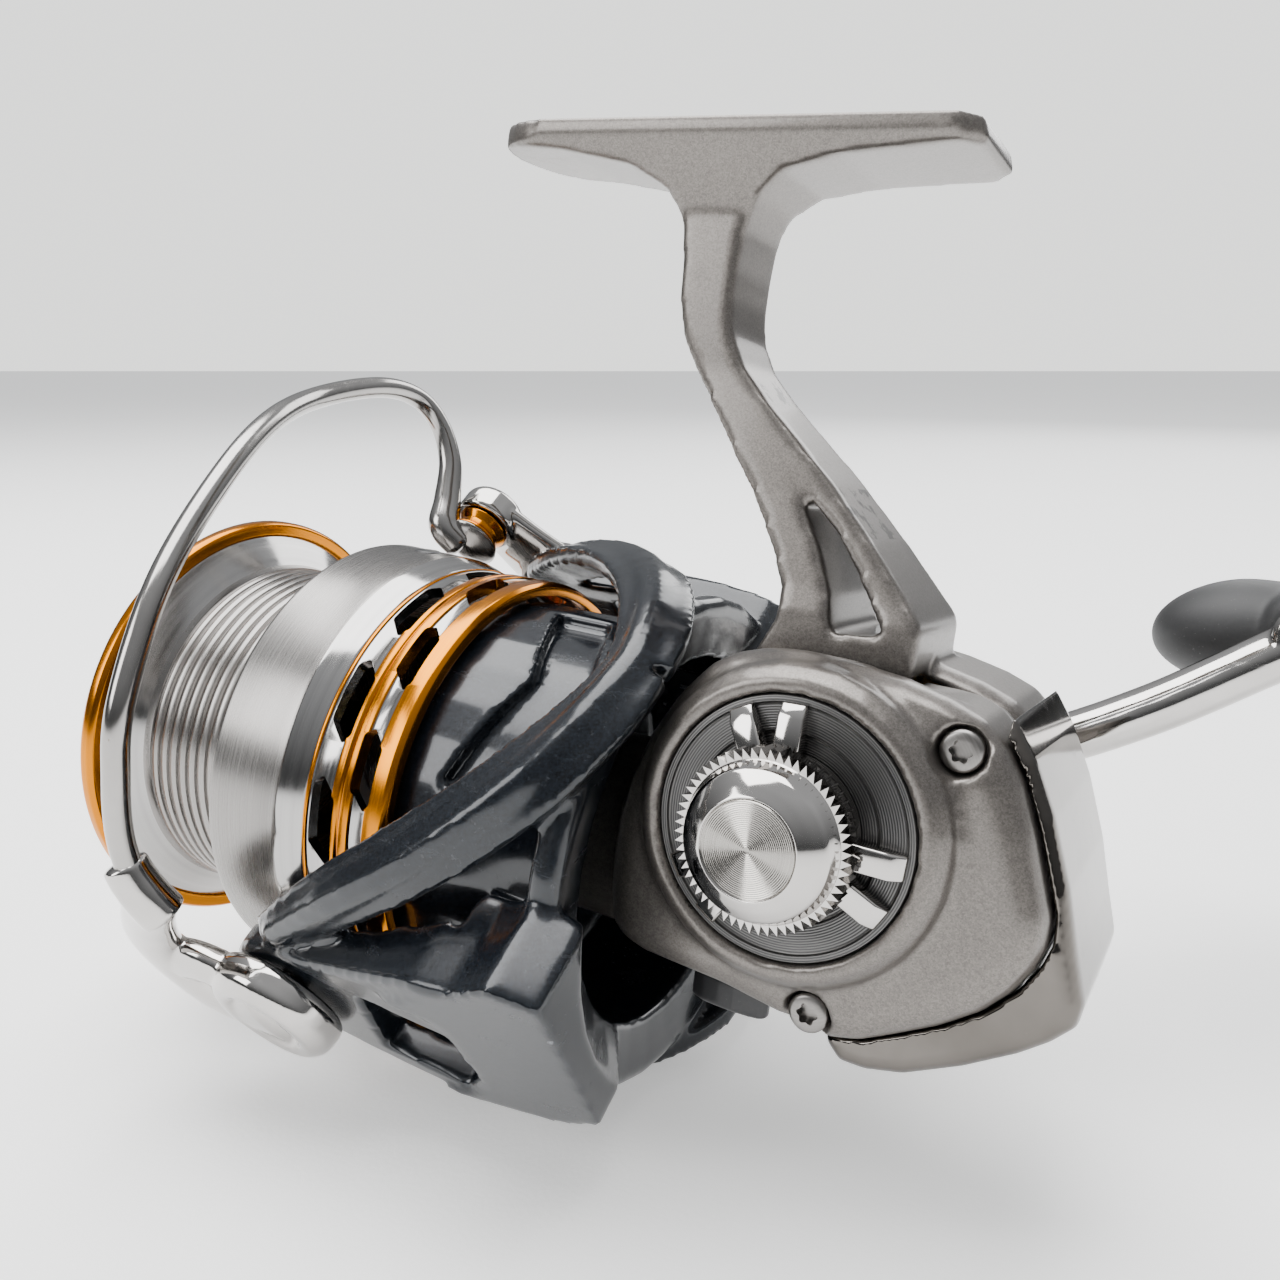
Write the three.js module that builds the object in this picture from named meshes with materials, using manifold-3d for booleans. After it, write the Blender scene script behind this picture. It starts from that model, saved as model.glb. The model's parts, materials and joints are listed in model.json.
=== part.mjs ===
// Spinning reel, millimetres. +X runs to the rear, +Y to the handle side, +Z up.
// The origin is the middle of the foot's flat seat; pieces are made about the main shaft's axis first.
import * as THREE from 'three';
import { mergeVertices } from 'three/examples/jsm/utils/BufferGeometryUtils.js';
import Module from 'manifold-3d';

const wasm = await Module();
wasm.setup();

// ---- driving dimensions ----
const shaftDrop = 67.4;
const driveX = 19.5;
const driveRise = 9.2;
const lipR = 24;
const lipFrontX = -56.6;
const trunkR = 19;
const skirtFrontX = -28;
const skirtRearX = -15.6;
const skirtFrontR = 23.9;
const skirtRearR = 22.9;
const skirtWall = 1.3;
const bailPivotX = -26.3;
const rotorTurnDeg = 130;
const footHalfWidth = 7.2;
const footFrontX = -24.8;
const footRearX = 23.6;
const housingNearY = -14;
const housingFarY = 13;
const mainShaftR = 1.6;
const driveShaftR = 3;
const strokeLength = 8.6;
const gearTeeth = 31;
const pinionTeeth = 6;
const oscTeeth = 16;
const oscPinionTeeth = 10;
const oscModule = 0.8;
const bailWireR = 1.15;
const knobLength = 36;

// ---- clearances ----
const runningGap = 0.09;
const seatGap = 0.1;
const coverGap = 0.25;
const bladeGap = 0.4;
const cutOver = 1;

// ---- resolution ----
const fine = 32;
const mid = 18;
const coarse = 12;
const tiny = 8;

const DEG = Math.PI / 180;
const root = new THREE.Group();
root.name = 'spinning_reel';

// Turns a closed geometry into a solid, with its faces outwards.
function solid(geometry) {
  const g = geometry.clone();
  for (const key of Object.keys(g.attributes)) {
    if (key !== 'position') g.deleteAttribute(key);
  }
  const m = mergeVertices(g, 1e-4);
  const p = m.attributes.position.array;
  const t = m.index.array;
  let volume = 0;
  for (let i = 0; i < t.length; i += 3) {
    const [a, b, c] = [t[i] * 3, t[i + 1] * 3, t[i + 2] * 3];
    volume += p[a] * (p[b + 1] * p[c + 2] - p[b + 2] * p[c + 1])
      + p[a + 1] * (p[b + 2] * p[c] - p[b] * p[c + 2])
      + p[a + 2] * (p[b] * p[c + 1] - p[b + 1] * p[c]);
  }
  const faces = [];
  for (let i = 0; i < t.length; i += 3) {
    const [a, b, c] = [t[i], t[i + 1], t[i + 2]];
    if (a === b || b === c || a === c) continue;
    faces.push(...(volume < 0 ? [a, c, b] : [a, b, c]));
  }
  const mesh = new wasm.Mesh({
    numProp: 3,
    vertProperties: new Float32Array(p),
    triVerts: new Uint32Array(faces),
  });
  return new wasm.Manifold(mesh);
}

const union = (list) => list.reduce((a, b) => a.add(b));
const minus = (body, list) => list.reduce((a, b) => a.subtract(b), body);

// A solid of revolution; profile is a list of [radius, height along the axis].
function spun(profile, segments = fine) {
  const points = profile.map(([r, h]) => new THREE.Vector2(Math.max(r, 0), h));
  if (profile[0][0] > 0) points.push(points[0].clone());
  return solid(new THREE.LatheGeometry(points, segments));
}
const alongX = (m) => m.rotate([0, 0, -90]);
const rod = (r, a, b, segments = mid) => spun([[0, a], [r, a], [r, b], [0, b]], segments);
const ring = (inner, outer, a, b, segments = mid) =>
  spun([[inner, a], [outer, a], [outer, b], [inner, b]], segments);
const rodX = (r, a, b, segments) => alongX(rod(r, a, b, segments));
const ringX = (inner, outer, a, b, segments) => alongX(ring(inner, outer, a, b, segments));
const spunX = (profile, segments) => alongX(spun(profile, segments));
const atDrive = (m) => m.translate([driveX, 0, driveRise]);

function block(x0, x1, y0, y1, z0, z1) {
  const g = new THREE.BoxGeometry(x1 - x0, y1 - y0, z1 - z0);
  g.translate((x0 + x1) / 2, (y0 + y1) / 2, (z0 + z1) / 2);
  return solid(g);
}

// A flat outline drawn in x and y, raised along z from a to b, with rounded rims.
function raised(points, a, b, rim = 0, steps = 2) {
  const shape = new THREE.Shape(points.map(([x, y]) => new THREE.Vector2(x, y)));
  const g = new THREE.ExtrudeGeometry(shape, {
    depth: b - a - 2 * rim,
    bevelEnabled: rim > 0,
    bevelSize: rim,
    bevelOffset: -rim,
    bevelThickness: rim,
    bevelSegments: steps,
  });
  g.translate(0, 0, a + rim);
  return solid(g);
}
// The same for an outline drawn in x and z, raised along y.
const slab = (points, y0, y1, rim, steps) => raised(points, -y1, -y0, rim, steps).rotate([90, 0, 0]);
// The same for an outline drawn in y and z, raised along x.
const plate = (points, x0, x1) => raised(points, x0, x1).rotate([90, 0, 90]);

function smooth(points, count, closed = false) {
  const curve = new THREE.CatmullRomCurve3(
    points.map(([x, y, z = 0]) => new THREE.Vector3(x, y, z)), closed, 'centripetal');
  return curve.getPoints(count);
}
const outline = (points, count) => smooth(points, count, true).slice(0, -1).map((p) => [p.x, p.y]);

function tube(points, radius, steps, sides = tiny) {
  const curve = new THREE.CatmullRomCurve3(points.map((p) => new THREE.Vector3(...p)), false,
    'centripetal');
  const shape = new THREE.Shape();
  shape.absarc(0, 0, radius, 0, Math.PI * 2);
  return solid(new THREE.ExtrudeGeometry(shape, { steps, extrudePath: curve, curveSegments: sides }));
}

function circlePoints(cx, cy, r, count, from = 0, to = 360) {
  const span = to - from;
  const whole = Math.abs(span) === 360;
  return Array.from({ length: count }, (_, i) => {
    const t = (from + (span * i) / (whole ? count : count - 1)) * DEG;
    return [cx + r * Math.cos(t), cy + r * Math.sin(t)];
  });
}

function place(name, body, colour, metalness = 0.6, roughness = 0.4) {
  const mesh = body.translate([0, 0, -shaftDrop]).getMesh();
  const g = new THREE.BufferGeometry();
  g.setAttribute('position', new THREE.BufferAttribute(new Float32Array(mesh.vertProperties), 3));
  g.setIndex(new THREE.BufferAttribute(new Uint32Array(mesh.triVerts), 1));
  g.computeVertexNormals();
  const node = new THREE.Mesh(g, new THREE.MeshStandardMaterial({ color: colour, metalness, roughness }));
  node.name = name;
  root.add(node);
}

const PAINT = 0x8d8a86;
const NAVY = 0x22262d;
const STEEL = 0xb9bbbd;
const CHROME = 0xd8d8da;
const BRASS = 0xb39a5a;
const GOLD = 0xd9921c;
const BLACK = 0x151515;
const ALLOY = 0xbdb8b3;

// ================= the gear pair's layout =================
const gearRatio = gearTeeth / pinionTeeth;
const meshRun = 6.73;
const meshR = Math.hypot(meshRun, driveRise);
const pinionPitchR = (driveRise + meshRun) / gearRatio;
const pinionTipR = pinionPitchR + 0.65;
const pinionRootR = pinionPitchR - 0.63;
const pinionFaceX = [8.6, 16.4];
const gearToothTipY = pinionRootR + 0.3;
const gearFaceY = pinionTipR + 0.25;
const gearBackY = gearFaceY + 2.2;
const gearOuterR = meshR + 0.9;
const gearInnerR = meshR - 1.5;
const pinionBoreR = mainShaftR + runningGap;
const journalR = pinionRootR - 0.2;
const pinionNoseR = 3;

// ================= fixed body =================
const wallT = 1.5;
const splitY = -2;
const cavityFarY = 8.4;
const cavityNearY = housingNearY + 2.4;
const bearingR = 5.6;
const bearingWide = 2.6;
const farBearingY = [housingFarY - 1.2 - bearingWide, housingFarY - 1.2];
const nearBearingY = [cavityNearY - 0.3, cavityNearY - 0.3 + bearingWide];

const housingLine = outline([
  [9.5, 20.6], [5.2, 14.4], [2.8, 7.2], [2.6, 1], [3.6, -5], [7, -6.6], [14, -7], [21, -8], [25.6, -8.6],
  [30.8, -6.2], [36.5, -2.4], [39.7, 1.8], [40.6, 5.4], [39.2, 10], [36.4, 16.8], [33.4, 20.4], [28,
    22.2], [19.5, 23.2],
  [13.5, 22.6],
], 34);
const cavityLine = outline([
  [11, 19.2], [7.4, 14], [6.2, 8], [6, 0], [7.4, -5], [14, -5.5], [21, -6.2], [27, -5.8], [32.6, -3.9],
    [35.5, -1.8],
  [38.3, 1.4], [39, 5], [37.6, 10.5], [33.4, 17.4], [28, 20.6], [19.5, 22], [14, 21],
], 26);

const stemLine = [
  [footFrontX, shaftDrop], [footRearX, shaftDrop], [footRearX + 0.6, shaftDrop - 2], [12, 64.4], [6.6,
    63.2],
  [4.2, 61.2], [3.4, 58.6], [3.1, 55], [3.1, 52], [3.5, 49.4], [5, 46.6], [8.4, 43.2], [11.9, 40.2],
    [15.3, 37.2],
  [19.9, 32.6], [24.5, 27.6], [29.6, 20.8], [31.8, 17], [30, 12], [8, 13], [9, 19.2], [11.6, 22.2], [12.8,
    25],
  [12.6, 27.6], [11.2, 30.6], [8.6, 34.8], [5.4, 39], [2.8, 42.6], [0.4, 45.8], [-1.3, 48.6], [-2.2, 52],
    [-2.5, 56],
  [-3, 59.2], [-4.8, 61.8], [-8.4, 63.6], [-16, 64.8], [footFrontX - 0.2, shaftDrop - 2],
];
const forkWindow = [
  [11.6, 37.4], [17.1, 32.6], [20.3, 28.3], [22.6, 25], [17.9, 24.4], [17.2, 27.6], [15.3, 31.6],
];
const neckHalf = 4.4;
const legHalf = 6.6;
const frontLine = [
  [-footHalfWidth, shaftDrop], [-footHalfWidth, shaftDrop - 1.4], [-neckHalf - 1.2, 63], [-neckHalf, 60],
  [-neckHalf, 46], [-5.4, 36], [-legHalf, 28], [-8.4, 22], [-9.6, 12], [9.6, 12], [8.4, 22], [legHalf, 28],
  [5.4, 36], [neckHalf, 46], [neckHalf, 60], [neckHalf + 1.2, 63], [footHalfWidth, shaftDrop - 1.4],
  [footHalfWidth, shaftDrop],
];
const footEnd = slab([
  [footFrontX - 2, shaftDrop + cutOver], [footRearX + 2, shaftDrop + cutOver], [footRearX + 2, 8],
  [footFrontX - 2, 8],
], -footHalfWidth - cutOver, footHalfWidth + cutOver);
const footPlan = raised([
  ...circlePoints(footFrontX + footHalfWidth - 0.1, 0, footHalfWidth, 13, 90, 270),
  [footRearX - 1.5, -footHalfWidth], [footRearX + 0.4, -footHalfWidth + 2], [60, -20], [60, 20],
  [footRearX + 0.4, footHalfWidth - 2], [footRearX - 1.5, footHalfWidth],
], 61, shaftDrop + cutOver);
const footTop = slab(stemLine, -footHalfWidth, footHalfWidth).intersect(footEnd).intersect(
  union([footPlan, block(-12, 60, -20, 20, 0, 61.01)]));
const stem = minus(
  footTop.intersect(plate(frontLine, footFrontX - 4, 60)),
  [slab(forkWindow, -20, 20)]);

const noseR = 9.4;
const noseFrontX = -6;
const noseBoreR = 6.9;
const housingFar = slab(housingLine, splitY + coverGap / 2, housingFarY, 2.2, 2);
const housingCavity = slab(cavityLine, splitY - cutOver, cavityFarY);
const stopperPin = [11, -4.5];
const stopperPinR = 1.1;
const leverPinTop = -5.4;
const webX = [17, 19.2];
const screwSpots = [[31.9, 18.2], [23.2, -6.6]];
const screwBossR = 2.4;
const screwShankR = 1;
const bossClip = slab(housingLine, -20, 20);
const bosses = union(screwSpots.map(([x, z]) =>
  rod(screwBossR, -1, cavityFarY + 0.5, coarse).translate([x, 0, z]))).intersect(bossClip);
const frameWeb = block(webX[0], webX[1], splitY - 1.4, gearToothTipY - 0.15, -6.4, -1);
const bodyFrame = minus(
  union([
    minus(union([housingFar, stem]), [
      housingCavity,
      block(-10, 60, -20, splitY + coverGap / 2, -20, 21.6),
    ]),
    rodX(noseR, noseFrontX, 6.6, fine),
    bosses,
    frameWeb,
    rod(bearingR + 1.6, cavityFarY - 0.4, farBearingY[1] + 0.4).translate([driveX, 0, driveRise]),
  ]),
  [
    rodX(noseBoreR, noseFrontX - cutOver, 5.2, mid),
    atDrive(rod(gearOuterR + 0.75, gearToothTipY - 0.6, gearBackY + 0.5, fine)),
    rodX(pinionTipR + 0.5, 0, pinionFaceX[1] + 0.3, mid),
    rodX(journalR + 1.2, webX[0] - cutOver, webX[1] + cutOver, coarse),
    atDrive(rod(bearingR + seatGap / 2, cavityFarY - 2, farBearingY[1] + seatGap / 2)),
    atDrive(rod(driveShaftR + 0.6, 0, 30)),
    ...screwSpots.map(([x, z]) => rod(screwShankR + seatGap, -2.5, 6.5, tiny).translate([x, 0, z])),
    slab(forkWindow, -20, 20),
  ]);
place('body_frame', bodyFrame, PAINT, 0.5, 0.45);

// ---- side cover with its disc, fins and cap ----
const discR = 11.1;
const discY = -16;
const coverRingR = 13.6;
const coverShell = union([
  slab(housingLine, housingNearY, splitY - coverGap / 2, 2.2, 2),
  atDrive(spun([[0, discY - 0.5], [coverRingR - 1.2, discY - 0.5], [coverRingR, discY + 0.9],
    [coverRingR, housingNearY + 3], [0, housingNearY + 3]], fine)),
]);
const slotX = driveX + 5;
const oscAxisX = slotX + strokeLength / 2;
const oscReach = ((oscTeeth + oscPinionTeeth) * oscModule) / 2 + 0.2;
const oscAxisRise = driveRise - Math.sqrt(oscReach ** 2 - (oscAxisX - driveX) ** 2);
const oscPostR = 1.5;
const oscGearY = [-6.5, -4.6];
const coverCavity = slab(cavityLine, cavityNearY, splitY + cutOver);
const legClear = slab([[4, 25], [4, 21.3], [34.6, 21.3], [34.6, 25]], -9.9, splitY + cutOver);
const counterboreR = 2.1;
const headY = housingNearY + 0.5;
const sideCover = minus(
  union([
    minus(coverShell, [coverCavity]),
    atDrive(ring(bearingR - 2, bearingR + 1.5, cavityNearY - 0.6, nearBearingY[1] - 0.2)),
    rod(oscPostR + 1.2, cavityNearY - 0.5, oscGearY[0] - 0.5, coarse).translate([oscAxisX, 0, oscAxisRise]),
    rod(oscPostR, cavityNearY - 0.5, oscGearY[1] + 0.05, coarse).translate([oscAxisX, 0, oscAxisRise]),
    ...screwSpots.map(([x, z]) => rod(screwBossR, housingNearY + 2, splitY - coverGap / 2, coarse)
      .translate([x, 0, z]).intersect(bossClip)),
  ]),
  [
    legClear,
    block(0, 40, splitY - 1.8, splitY + 2, -20, 0.5).intersect(rodX(noseR + coverGap, -2, 6.9, fine)),
    rodX(noseR + coverGap, -10, 6.9, fine),
    block(webX[0] - 0.2, webX[1] + 0.2, splitY - 1.7, 0, -9, 4.7),
    atDrive(rod(discR + seatGap, discY - 2, discY + 1.2, fine)),
    atDrive(rod(bearingR + seatGap / 2, nearBearingY[0] - seatGap / 2, 0)),
    atDrive(rod(driveShaftR + 0.6, -30, 0)),
    ...screwSpots.map(([x, z]) => rod(screwShankR + seatGap, -20, 0, tiny).translate([x, 0, z])),
    ...screwSpots.map(([x, z]) => rod(counterboreR, -20, headY + 1.6, coarse).translate([x, 0, z])),
    rod(stopperPinR + runningGap, 3, 12, tiny).rotate([-90, 0, 0]).translate([stopperPin[0],
      stopperPin[1], 0]),
  ]);
place('side_cover', sideCover, PAINT, 0.5, 0.45);

const discPlateY = [discY, discY + 1.1];
place('side_disc', atDrive(spun([
  [driveShaftR + 1.6, discPlateY[0] + 0.2], [8, discPlateY[0] + 0.2], [8, discPlateY[0]], [discR,
    discPlateY[0]],
  [discR, discPlateY[1]], [driveShaftR + 1.6, discPlateY[1]],
], fine)), BLACK, 0.7, 0.4);

const finAngles = [105, -15, -135].flatMap((middle) => [middle - 13, middle + 13]);
const finLine = (deg) => {
  const c = Math.cos(deg * DEG);
  const s = Math.sin(deg * DEG);
  const p = (r, w) => [r * c - w * s, r * s + w * c];
  return [p(5.1, -1.1), p(10.4, -1.1), p(10.4, 1.1), p(5.1, 1.1)];
};
const finHub = ring(4.8, 6.2, discY - 1.6, discY + 0.1, mid);
place('fin_ring', atDrive(union([
  finHub,
  ...finAngles.map((a) => slab(finLine(a), discY - 1.2, discY - 0.1, 0.25, 1)),
])), CHROME, 1, 0.15);

const knurlTeeth = 60;
const capR = 7.4;
const capRim = Array.from({ length: knurlTeeth * 2 }, (_, i) => {
  const t = (i / (knurlTeeth * 2)) * Math.PI * 2;
  const r = i % 2 ? capR : capR - 0.6;
  return [r * Math.cos(t), r * Math.sin(t)];
});
const capStemR = 2;
place('drive_cap', atDrive(union([
  slab(capRim, discY - 4.4, discY - 2.2),
  spun([[0, discY - 7.4], [3.9, discY - 7.4], [4.2, discY - 7.1], [6.4, discY - 5.6], [capR - 0.6,
    discY - 4.3],
    [0, discY - 4.3]], fine),
  rod(capStemR, discY - 3, nearBearingY[0] + 4, coarse),
])), CHROME, 1, 0.12);

screwSpots.forEach(([x, z], i) => {
  const head = rod(counterboreR - 0.35, headY, headY + 1.45, coarse);
  const recess = slab(circlePoints(0, 0, 0.85, 6), headY - 1, headY + 0.8);
  const shank = rod(screwShankR, headY + 1, 5.6, tiny);
  place(`cover_screw_${i + 1}`, union([head, shank]).subtract(recess).translate([x, 0, z]), STEEL, 1, 0.3);
});

// ---- rear cover ----
const rearLine = [
  [31.8, 22.3], [34.6, 21.4], [36.9, 18.2], [39.1, 14], [41.2, 8.6], [42.6, 3.8], [43.8, 0], [43.6, -1.8],
  [42, -3.6], [39.8, -5.4], [35.8, -8], [31.2, -10.4], [28, -11.2], [25.6, -11.2], [24.2, -9.8], [24, -6],
  [26, 0], [28, 12],
];
const housingGrown = (y0, y1) => {
  const shape = new THREE.Shape(housingLine.map(([x, y]) => new THREE.Vector2(x, y)));
  const g = new THREE.ExtrudeGeometry(shape, {
    depth: y1 - y0, bevelEnabled: true, bevelSize: coverGap, bevelOffset: 0, bevelThickness: coverGap,
    bevelSegments: 1,
  });
  g.translate(0, 0, -y1);
  return solid(g).rotate([90, 0, 0]);
};
const rearHalf = 11.4;
const rearShell = slab(rearLine, -rearHalf, rearHalf, 1.6, 3);
const rearCover = minus(rearShell, [
  housingGrown(-30, 30),
  block(0, 34.8, -30, 30, 8, 60),
]);
place('rear_cover', rearCover, STEEL, 1, 0.15);

// ---- drive bearings, front bearing, clutch and seal ----
const bearing = (inner, outer, a, b) => {
  const m = (a + b) / 2;
  const w = (b - a) / 2;
  const lip = 0.7;
  return spun([[inner, m - w], [inner + lip, m - w + 0.25], [outer - lip, m - w + 0.25], [outer, m - w],
    [outer, m + w], [outer - lip, m + w - 0.25], [inner + lip, m + w - 0.25], [inner, m + w]], mid);
};
place('drive_bearing_near', atDrive(bearing(driveShaftR + runningGap, bearingR, ...nearBearingY)), STEEL,
  1, 0.25);
place('drive_bearing_far', atDrive(bearing(driveShaftR + runningGap, bearingR, ...farBearingY)), STEEL, 1,
  0.25);
const frontBearingX = [1.4, 5];
place('pinion_bearing', alongX(bearing(pinionNoseR + runningGap, noseBoreR - seatGap, ...frontBearingX)),
  STEEL, 1, 0.25);
const clutchX = [-4.6, 1.1];
const clutchLobes = 6;
const clutchBody = minus(ringX(pinionNoseR + 1.5, noseBoreR - seatGap, ...clutchX, mid),
  Array.from({ length: clutchLobes }, (_, i) => rodX(0.75, clutchX[0] + 0.8, clutchX[1] + 1, tiny)
    .translate([0, pinionNoseR + 1.5, 0]).rotate([(360 * i) / clutchLobes, 0, 0])));
place('one_way_clutch', clutchBody, BRASS, 0.8, 0.4);
place('clutch_retainer', ringX(pinionNoseR + 1.6, noseBoreR - seatGap, noseFrontX + 0.2,
  clutchX[0] - 0.15, mid),
  BLACK, 0.2, 0.6);
const rearBush = ringX(journalR + runningGap, journalR + 1.1, webX[0] + 0.1, webX[1] - 0.1, coarse)
  .subtract(block(0, 40, gearToothTipY - 0.13, 20, -20, 20));
place('pinion_rear_bush', rearBush, BRASS, 0.8, 0.4);

// ---- anti-reverse lever under the body ----
const leverTop = -7.6;
place('stopper_lever', union([
  rod(stopperPinR, -leverPinTop, 10, tiny).rotate([-90, 0, 0]).translate([stopperPin[0], stopperPin[1], 0]),
  raised(outline([[9.6, -6], [9.4, -3.4], [12.6, -3], [16.6, -4.2], [17.2, -6], [14, -6.8]], 18),
    leverTop - 4.8,
    leverTop - 1.6, 0.4, 1),
]), BLACK, 0.1, 0.5);

// ================= handle side, turning about the drive axis =================
const gearBoreR = driveShaftR + 0.05;
const gearWeb = spun([[gearBoreR, gearFaceY], [gearOuterR + 0.3, gearFaceY], [gearOuterR + 0.3,
  gearBackY - 0.4],
  [gearOuterR - 0.6, gearBackY], [6, gearBackY - 0.6], [4.6, gearBackY + 1.2], [gearBoreR,
    gearBackY + 1.2]], fine);
const toothLean = 45 * DEG;
const toothHalf = 0.3;
const toothRidge = (() => {
  const length = (gearOuterR - gearInnerR) / 2;
  const tall = gearFaceY - gearToothTipY;
  const ridge = plate([[-tall - 0.3, -toothHalf - 0.2], [-tall - 0.3, toothHalf + 0.2], [0,
    toothHalf - 0.08],
    [0, -toothHalf + 0.08]], -length, length);
  const turned = ridge.scale([1, -1, 1]).rotate([0, -toothLean / DEG, 0]);
  return turned.translate([-meshRun, gearToothTipY, -driveRise]);
})();
const gearTeethRing = Array.from({ length: gearTeeth }, (_, i) =>
  toothRidge.rotate([0, (360 * i) / gearTeeth, 0]));
place('drive_gear', atDrive(union([gearWeb, ...gearTeethRing])), BRASS, 0.9, 0.35);

const spurProfile = (teeth, module) => {
  const pitch = (teeth * module) / 2;
  const tip = pitch + 0.8 * module;
  const rootR = pitch - 1.05 * module;
  const step = 360 / teeth;
  return Array.from({ length: teeth }, (_, i) => [[rootR, -0.3], [pitch, -0.2], [tip, -0.1], [tip, 0.1],
    [pitch, 0.2],
    [rootR, 0.3]].map(([r, f]) => {
    const t = (i + f) * step * DEG;
    return [r * Math.cos(t), r * Math.sin(t)];
  })).flat();
};
const lineTilt = Math.atan2(oscAxisRise - driveRise, oscAxisX - driveX) / DEG;
const turnSlab = (m, deg) => m.rotate([0, -deg, 0]);
const oscPinion = turnSlab(slab(spurProfile(oscPinionTeeth, oscModule), ...oscGearY), lineTilt);
const shaftNearY = nearBearingY[0] + 0.2;
const handleHubY = [housingFarY + 1.4, 33.6];
const armY = handleHubY[1] + 3.2;
const squareHalf = 1.9;
place('drive_shaft', atDrive(union([
  rod(driveShaftR, shaftNearY, farBearingY[1] + 0.6, fine),
  oscPinion,
]).subtract(union([
  rod(capStemR + seatGap, shaftNearY - 1, nearBearingY[0] + 4.3, coarse),
  block(-squareHalf - seatGap, squareHalf + seatGap, gearBackY + 1, 30, -squareHalf - seatGap,
    squareHalf + seatGap),
]))), STEEL, 1, 0.3);

const armPoints = [[0, armY, 0], [5, armY, 0.1], [11.3, armY + 0.2, 1.2], [22, armY + 0.8, 7.6],
  [32.2, armY + 1.4, 15.3], [36, armY + 1.6, 18.1]];
const armR = 2.9;
place('handle_collar', atDrive(union([
  spun([[0, handleHubY[0]], [5.2, handleHubY[0]], [5.2, handleHubY[0] + 3.4], [3.7, handleHubY[0] + 5],
    [3.4, handleHubY[1] - 2], [4.2, handleHubY[1] - 1], [4.2, handleHubY[1]], [0, handleHubY[1]]], mid),
  block(-squareHalf, squareHalf, gearBackY + 2, handleHubY[0] + 1, -squareHalf, squareHalf),
])), STEEL, 1, 0.25);
place('shaft_seal', atDrive(ring(driveShaftR + 1, bearingR + 1, housingFarY + 0.1,
  handleHubY[0] - seatGap, mid)),
  BLACK, 0, 0.7);
const armBase = spun([[0, handleHubY[1] + 0.1], [3.6, handleHubY[1] + 0.1], [4.3, handleHubY[1] + 0.8],
  [4.3, armY + 2.2], [3, armY + 3.2], [0, armY + 3.2]], mid);
const armEnd = armPoints[armPoints.length - 1];
const knobPinR = 1.8;
const knobStartY = armEnd[1] + armR + 0.6;
const armTipRing = rod(4.1, armEnd[1] - armR, armEnd[1] + armR + 0.3, mid).translate([armEnd[0], 0,
  armEnd[2]]);
place('handle_arm', atDrive(union([
  armBase,
  tube(armPoints, armR, 14, 6),
  armTipRing,
]).subtract(rod(knobPinR - 0.3, armEnd[1] - armR + 1.2, 60, coarse).translate([armEnd[0], 0, armEnd[2]]))),
CHROME, 1, 0.12);
const atKnob = (m) => atDrive(m.translate([armEnd[0], 0, armEnd[2]]));
const knobEndY = knobStartY + 15;
place('knob_shaft', atKnob(union([
  rod(knobPinR - 0.4, armEnd[1] - armR + 1.4, knobStartY + 1, coarse),
  rod(knobPinR, armEnd[1] + armR + 0.4, knobEndY - 2.4, coarse),
  rod(knobPinR + 1.2, knobEndY - 2.2, knobEndY - 1.2, coarse),
  rod(knobPinR - 0.2, knobEndY - 2.6, knobEndY - 2, coarse),
])), STEEL, 1, 0.3);
const knobLean = -11;
const knobBody = (() => {
  const g = new THREE.SphereGeometry(1, 20, 12);
  g.scale(knobLength / 2, 9.6, 8.4);
  const half = solid(g).translate([0, knobStartY + 8.4, 0]);
  const neck = rod(5.6, knobStartY, knobStartY + 6, mid);
  const waist = union([-1, 1].map((k) => rod(9, -30, 60, mid).translate([0, 0, k * 14.4])));
  return turnSlab(union([half.intersect(block(-40, 40, knobStartY + 0.6, 90, -40, 40)),
    neck]).subtract(waist),
    -knobLean);
})();
const knobBore = union([
  rod(knobPinR + runningGap + 1.1, knobStartY - 1, knobStartY + 2.4, coarse),
  rod(knobPinR + 0.6, knobStartY, knobEndY - 1.8, coarse),
  rod(knobPinR + 1.6, knobEndY - 2.6, knobEndY + 9, coarse),
]);
place('handle_knob', atKnob(knobBody.subtract(knobBore)), BLACK, 0, 0.7);
place('knob_bush', atKnob(ring(knobPinR + runningGap, knobPinR + runningGap + 1, knobStartY - 0.05,
  knobStartY + 2.3, coarse)), BRASS, 0.5, 0.4);
place('knob_cap', atKnob(rod(knobPinR + 1.5, knobEndY - 0.9, knobEndY + 0.7, coarse)), STEEL, 1, 0.3);

// ---- oscillation gear, slider and main shaft ----
const crankR = strokeLength / 2;
const oscTurn = lineTilt + 180 + 180 / oscTeeth;
place('oscillation_gear', union([
  turnSlab(slab(spurProfile(oscTeeth, oscModule), ...oscGearY).subtract(
    rod(oscPostR + runningGap, -20, 20, coarse)), oscTurn),
  rod(1, oscGearY[1] - 0.4, oscGearY[1] + 0.9, tiny).translate([-crankR, 0, 0]),
]).translate([oscAxisX, 0, oscAxisRise]), BRASS, 0.9, 0.4);
const sliderX = [slotX - 1.8, slotX + 1.8];
const sliderY = [-3.4, 2.2];
const sliderTop = oscAxisRise + crankR + 1.2;
const shaftRearX = sliderX[1] + 0.1;
place('oscillation_slider', minus(block(...sliderX, ...sliderY, -mainShaftR - 0.4, sliderTop), [
  block(slotX - 1.1, slotX + 1.1, sliderY[0] - 1, sliderY[0] + 1.1, oscAxisRise - crankR - 0.2,
    sliderTop - 0.6),
  rodX(mainShaftR + 0.05, 0, 60, coarse),
]), STEEL, 0.9, 0.4);
const knobFaceX = lipFrontX - 4.4;
place('main_shaft', union([
  rodX(mainShaftR, knobFaceX + 1.6, shaftRearX - 0.4, coarse),
  rodX(mainShaftR - 0.4, shaftRearX - 0.6, shaftRearX, coarse),
]), STEEL, 1, 0.2);

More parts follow.
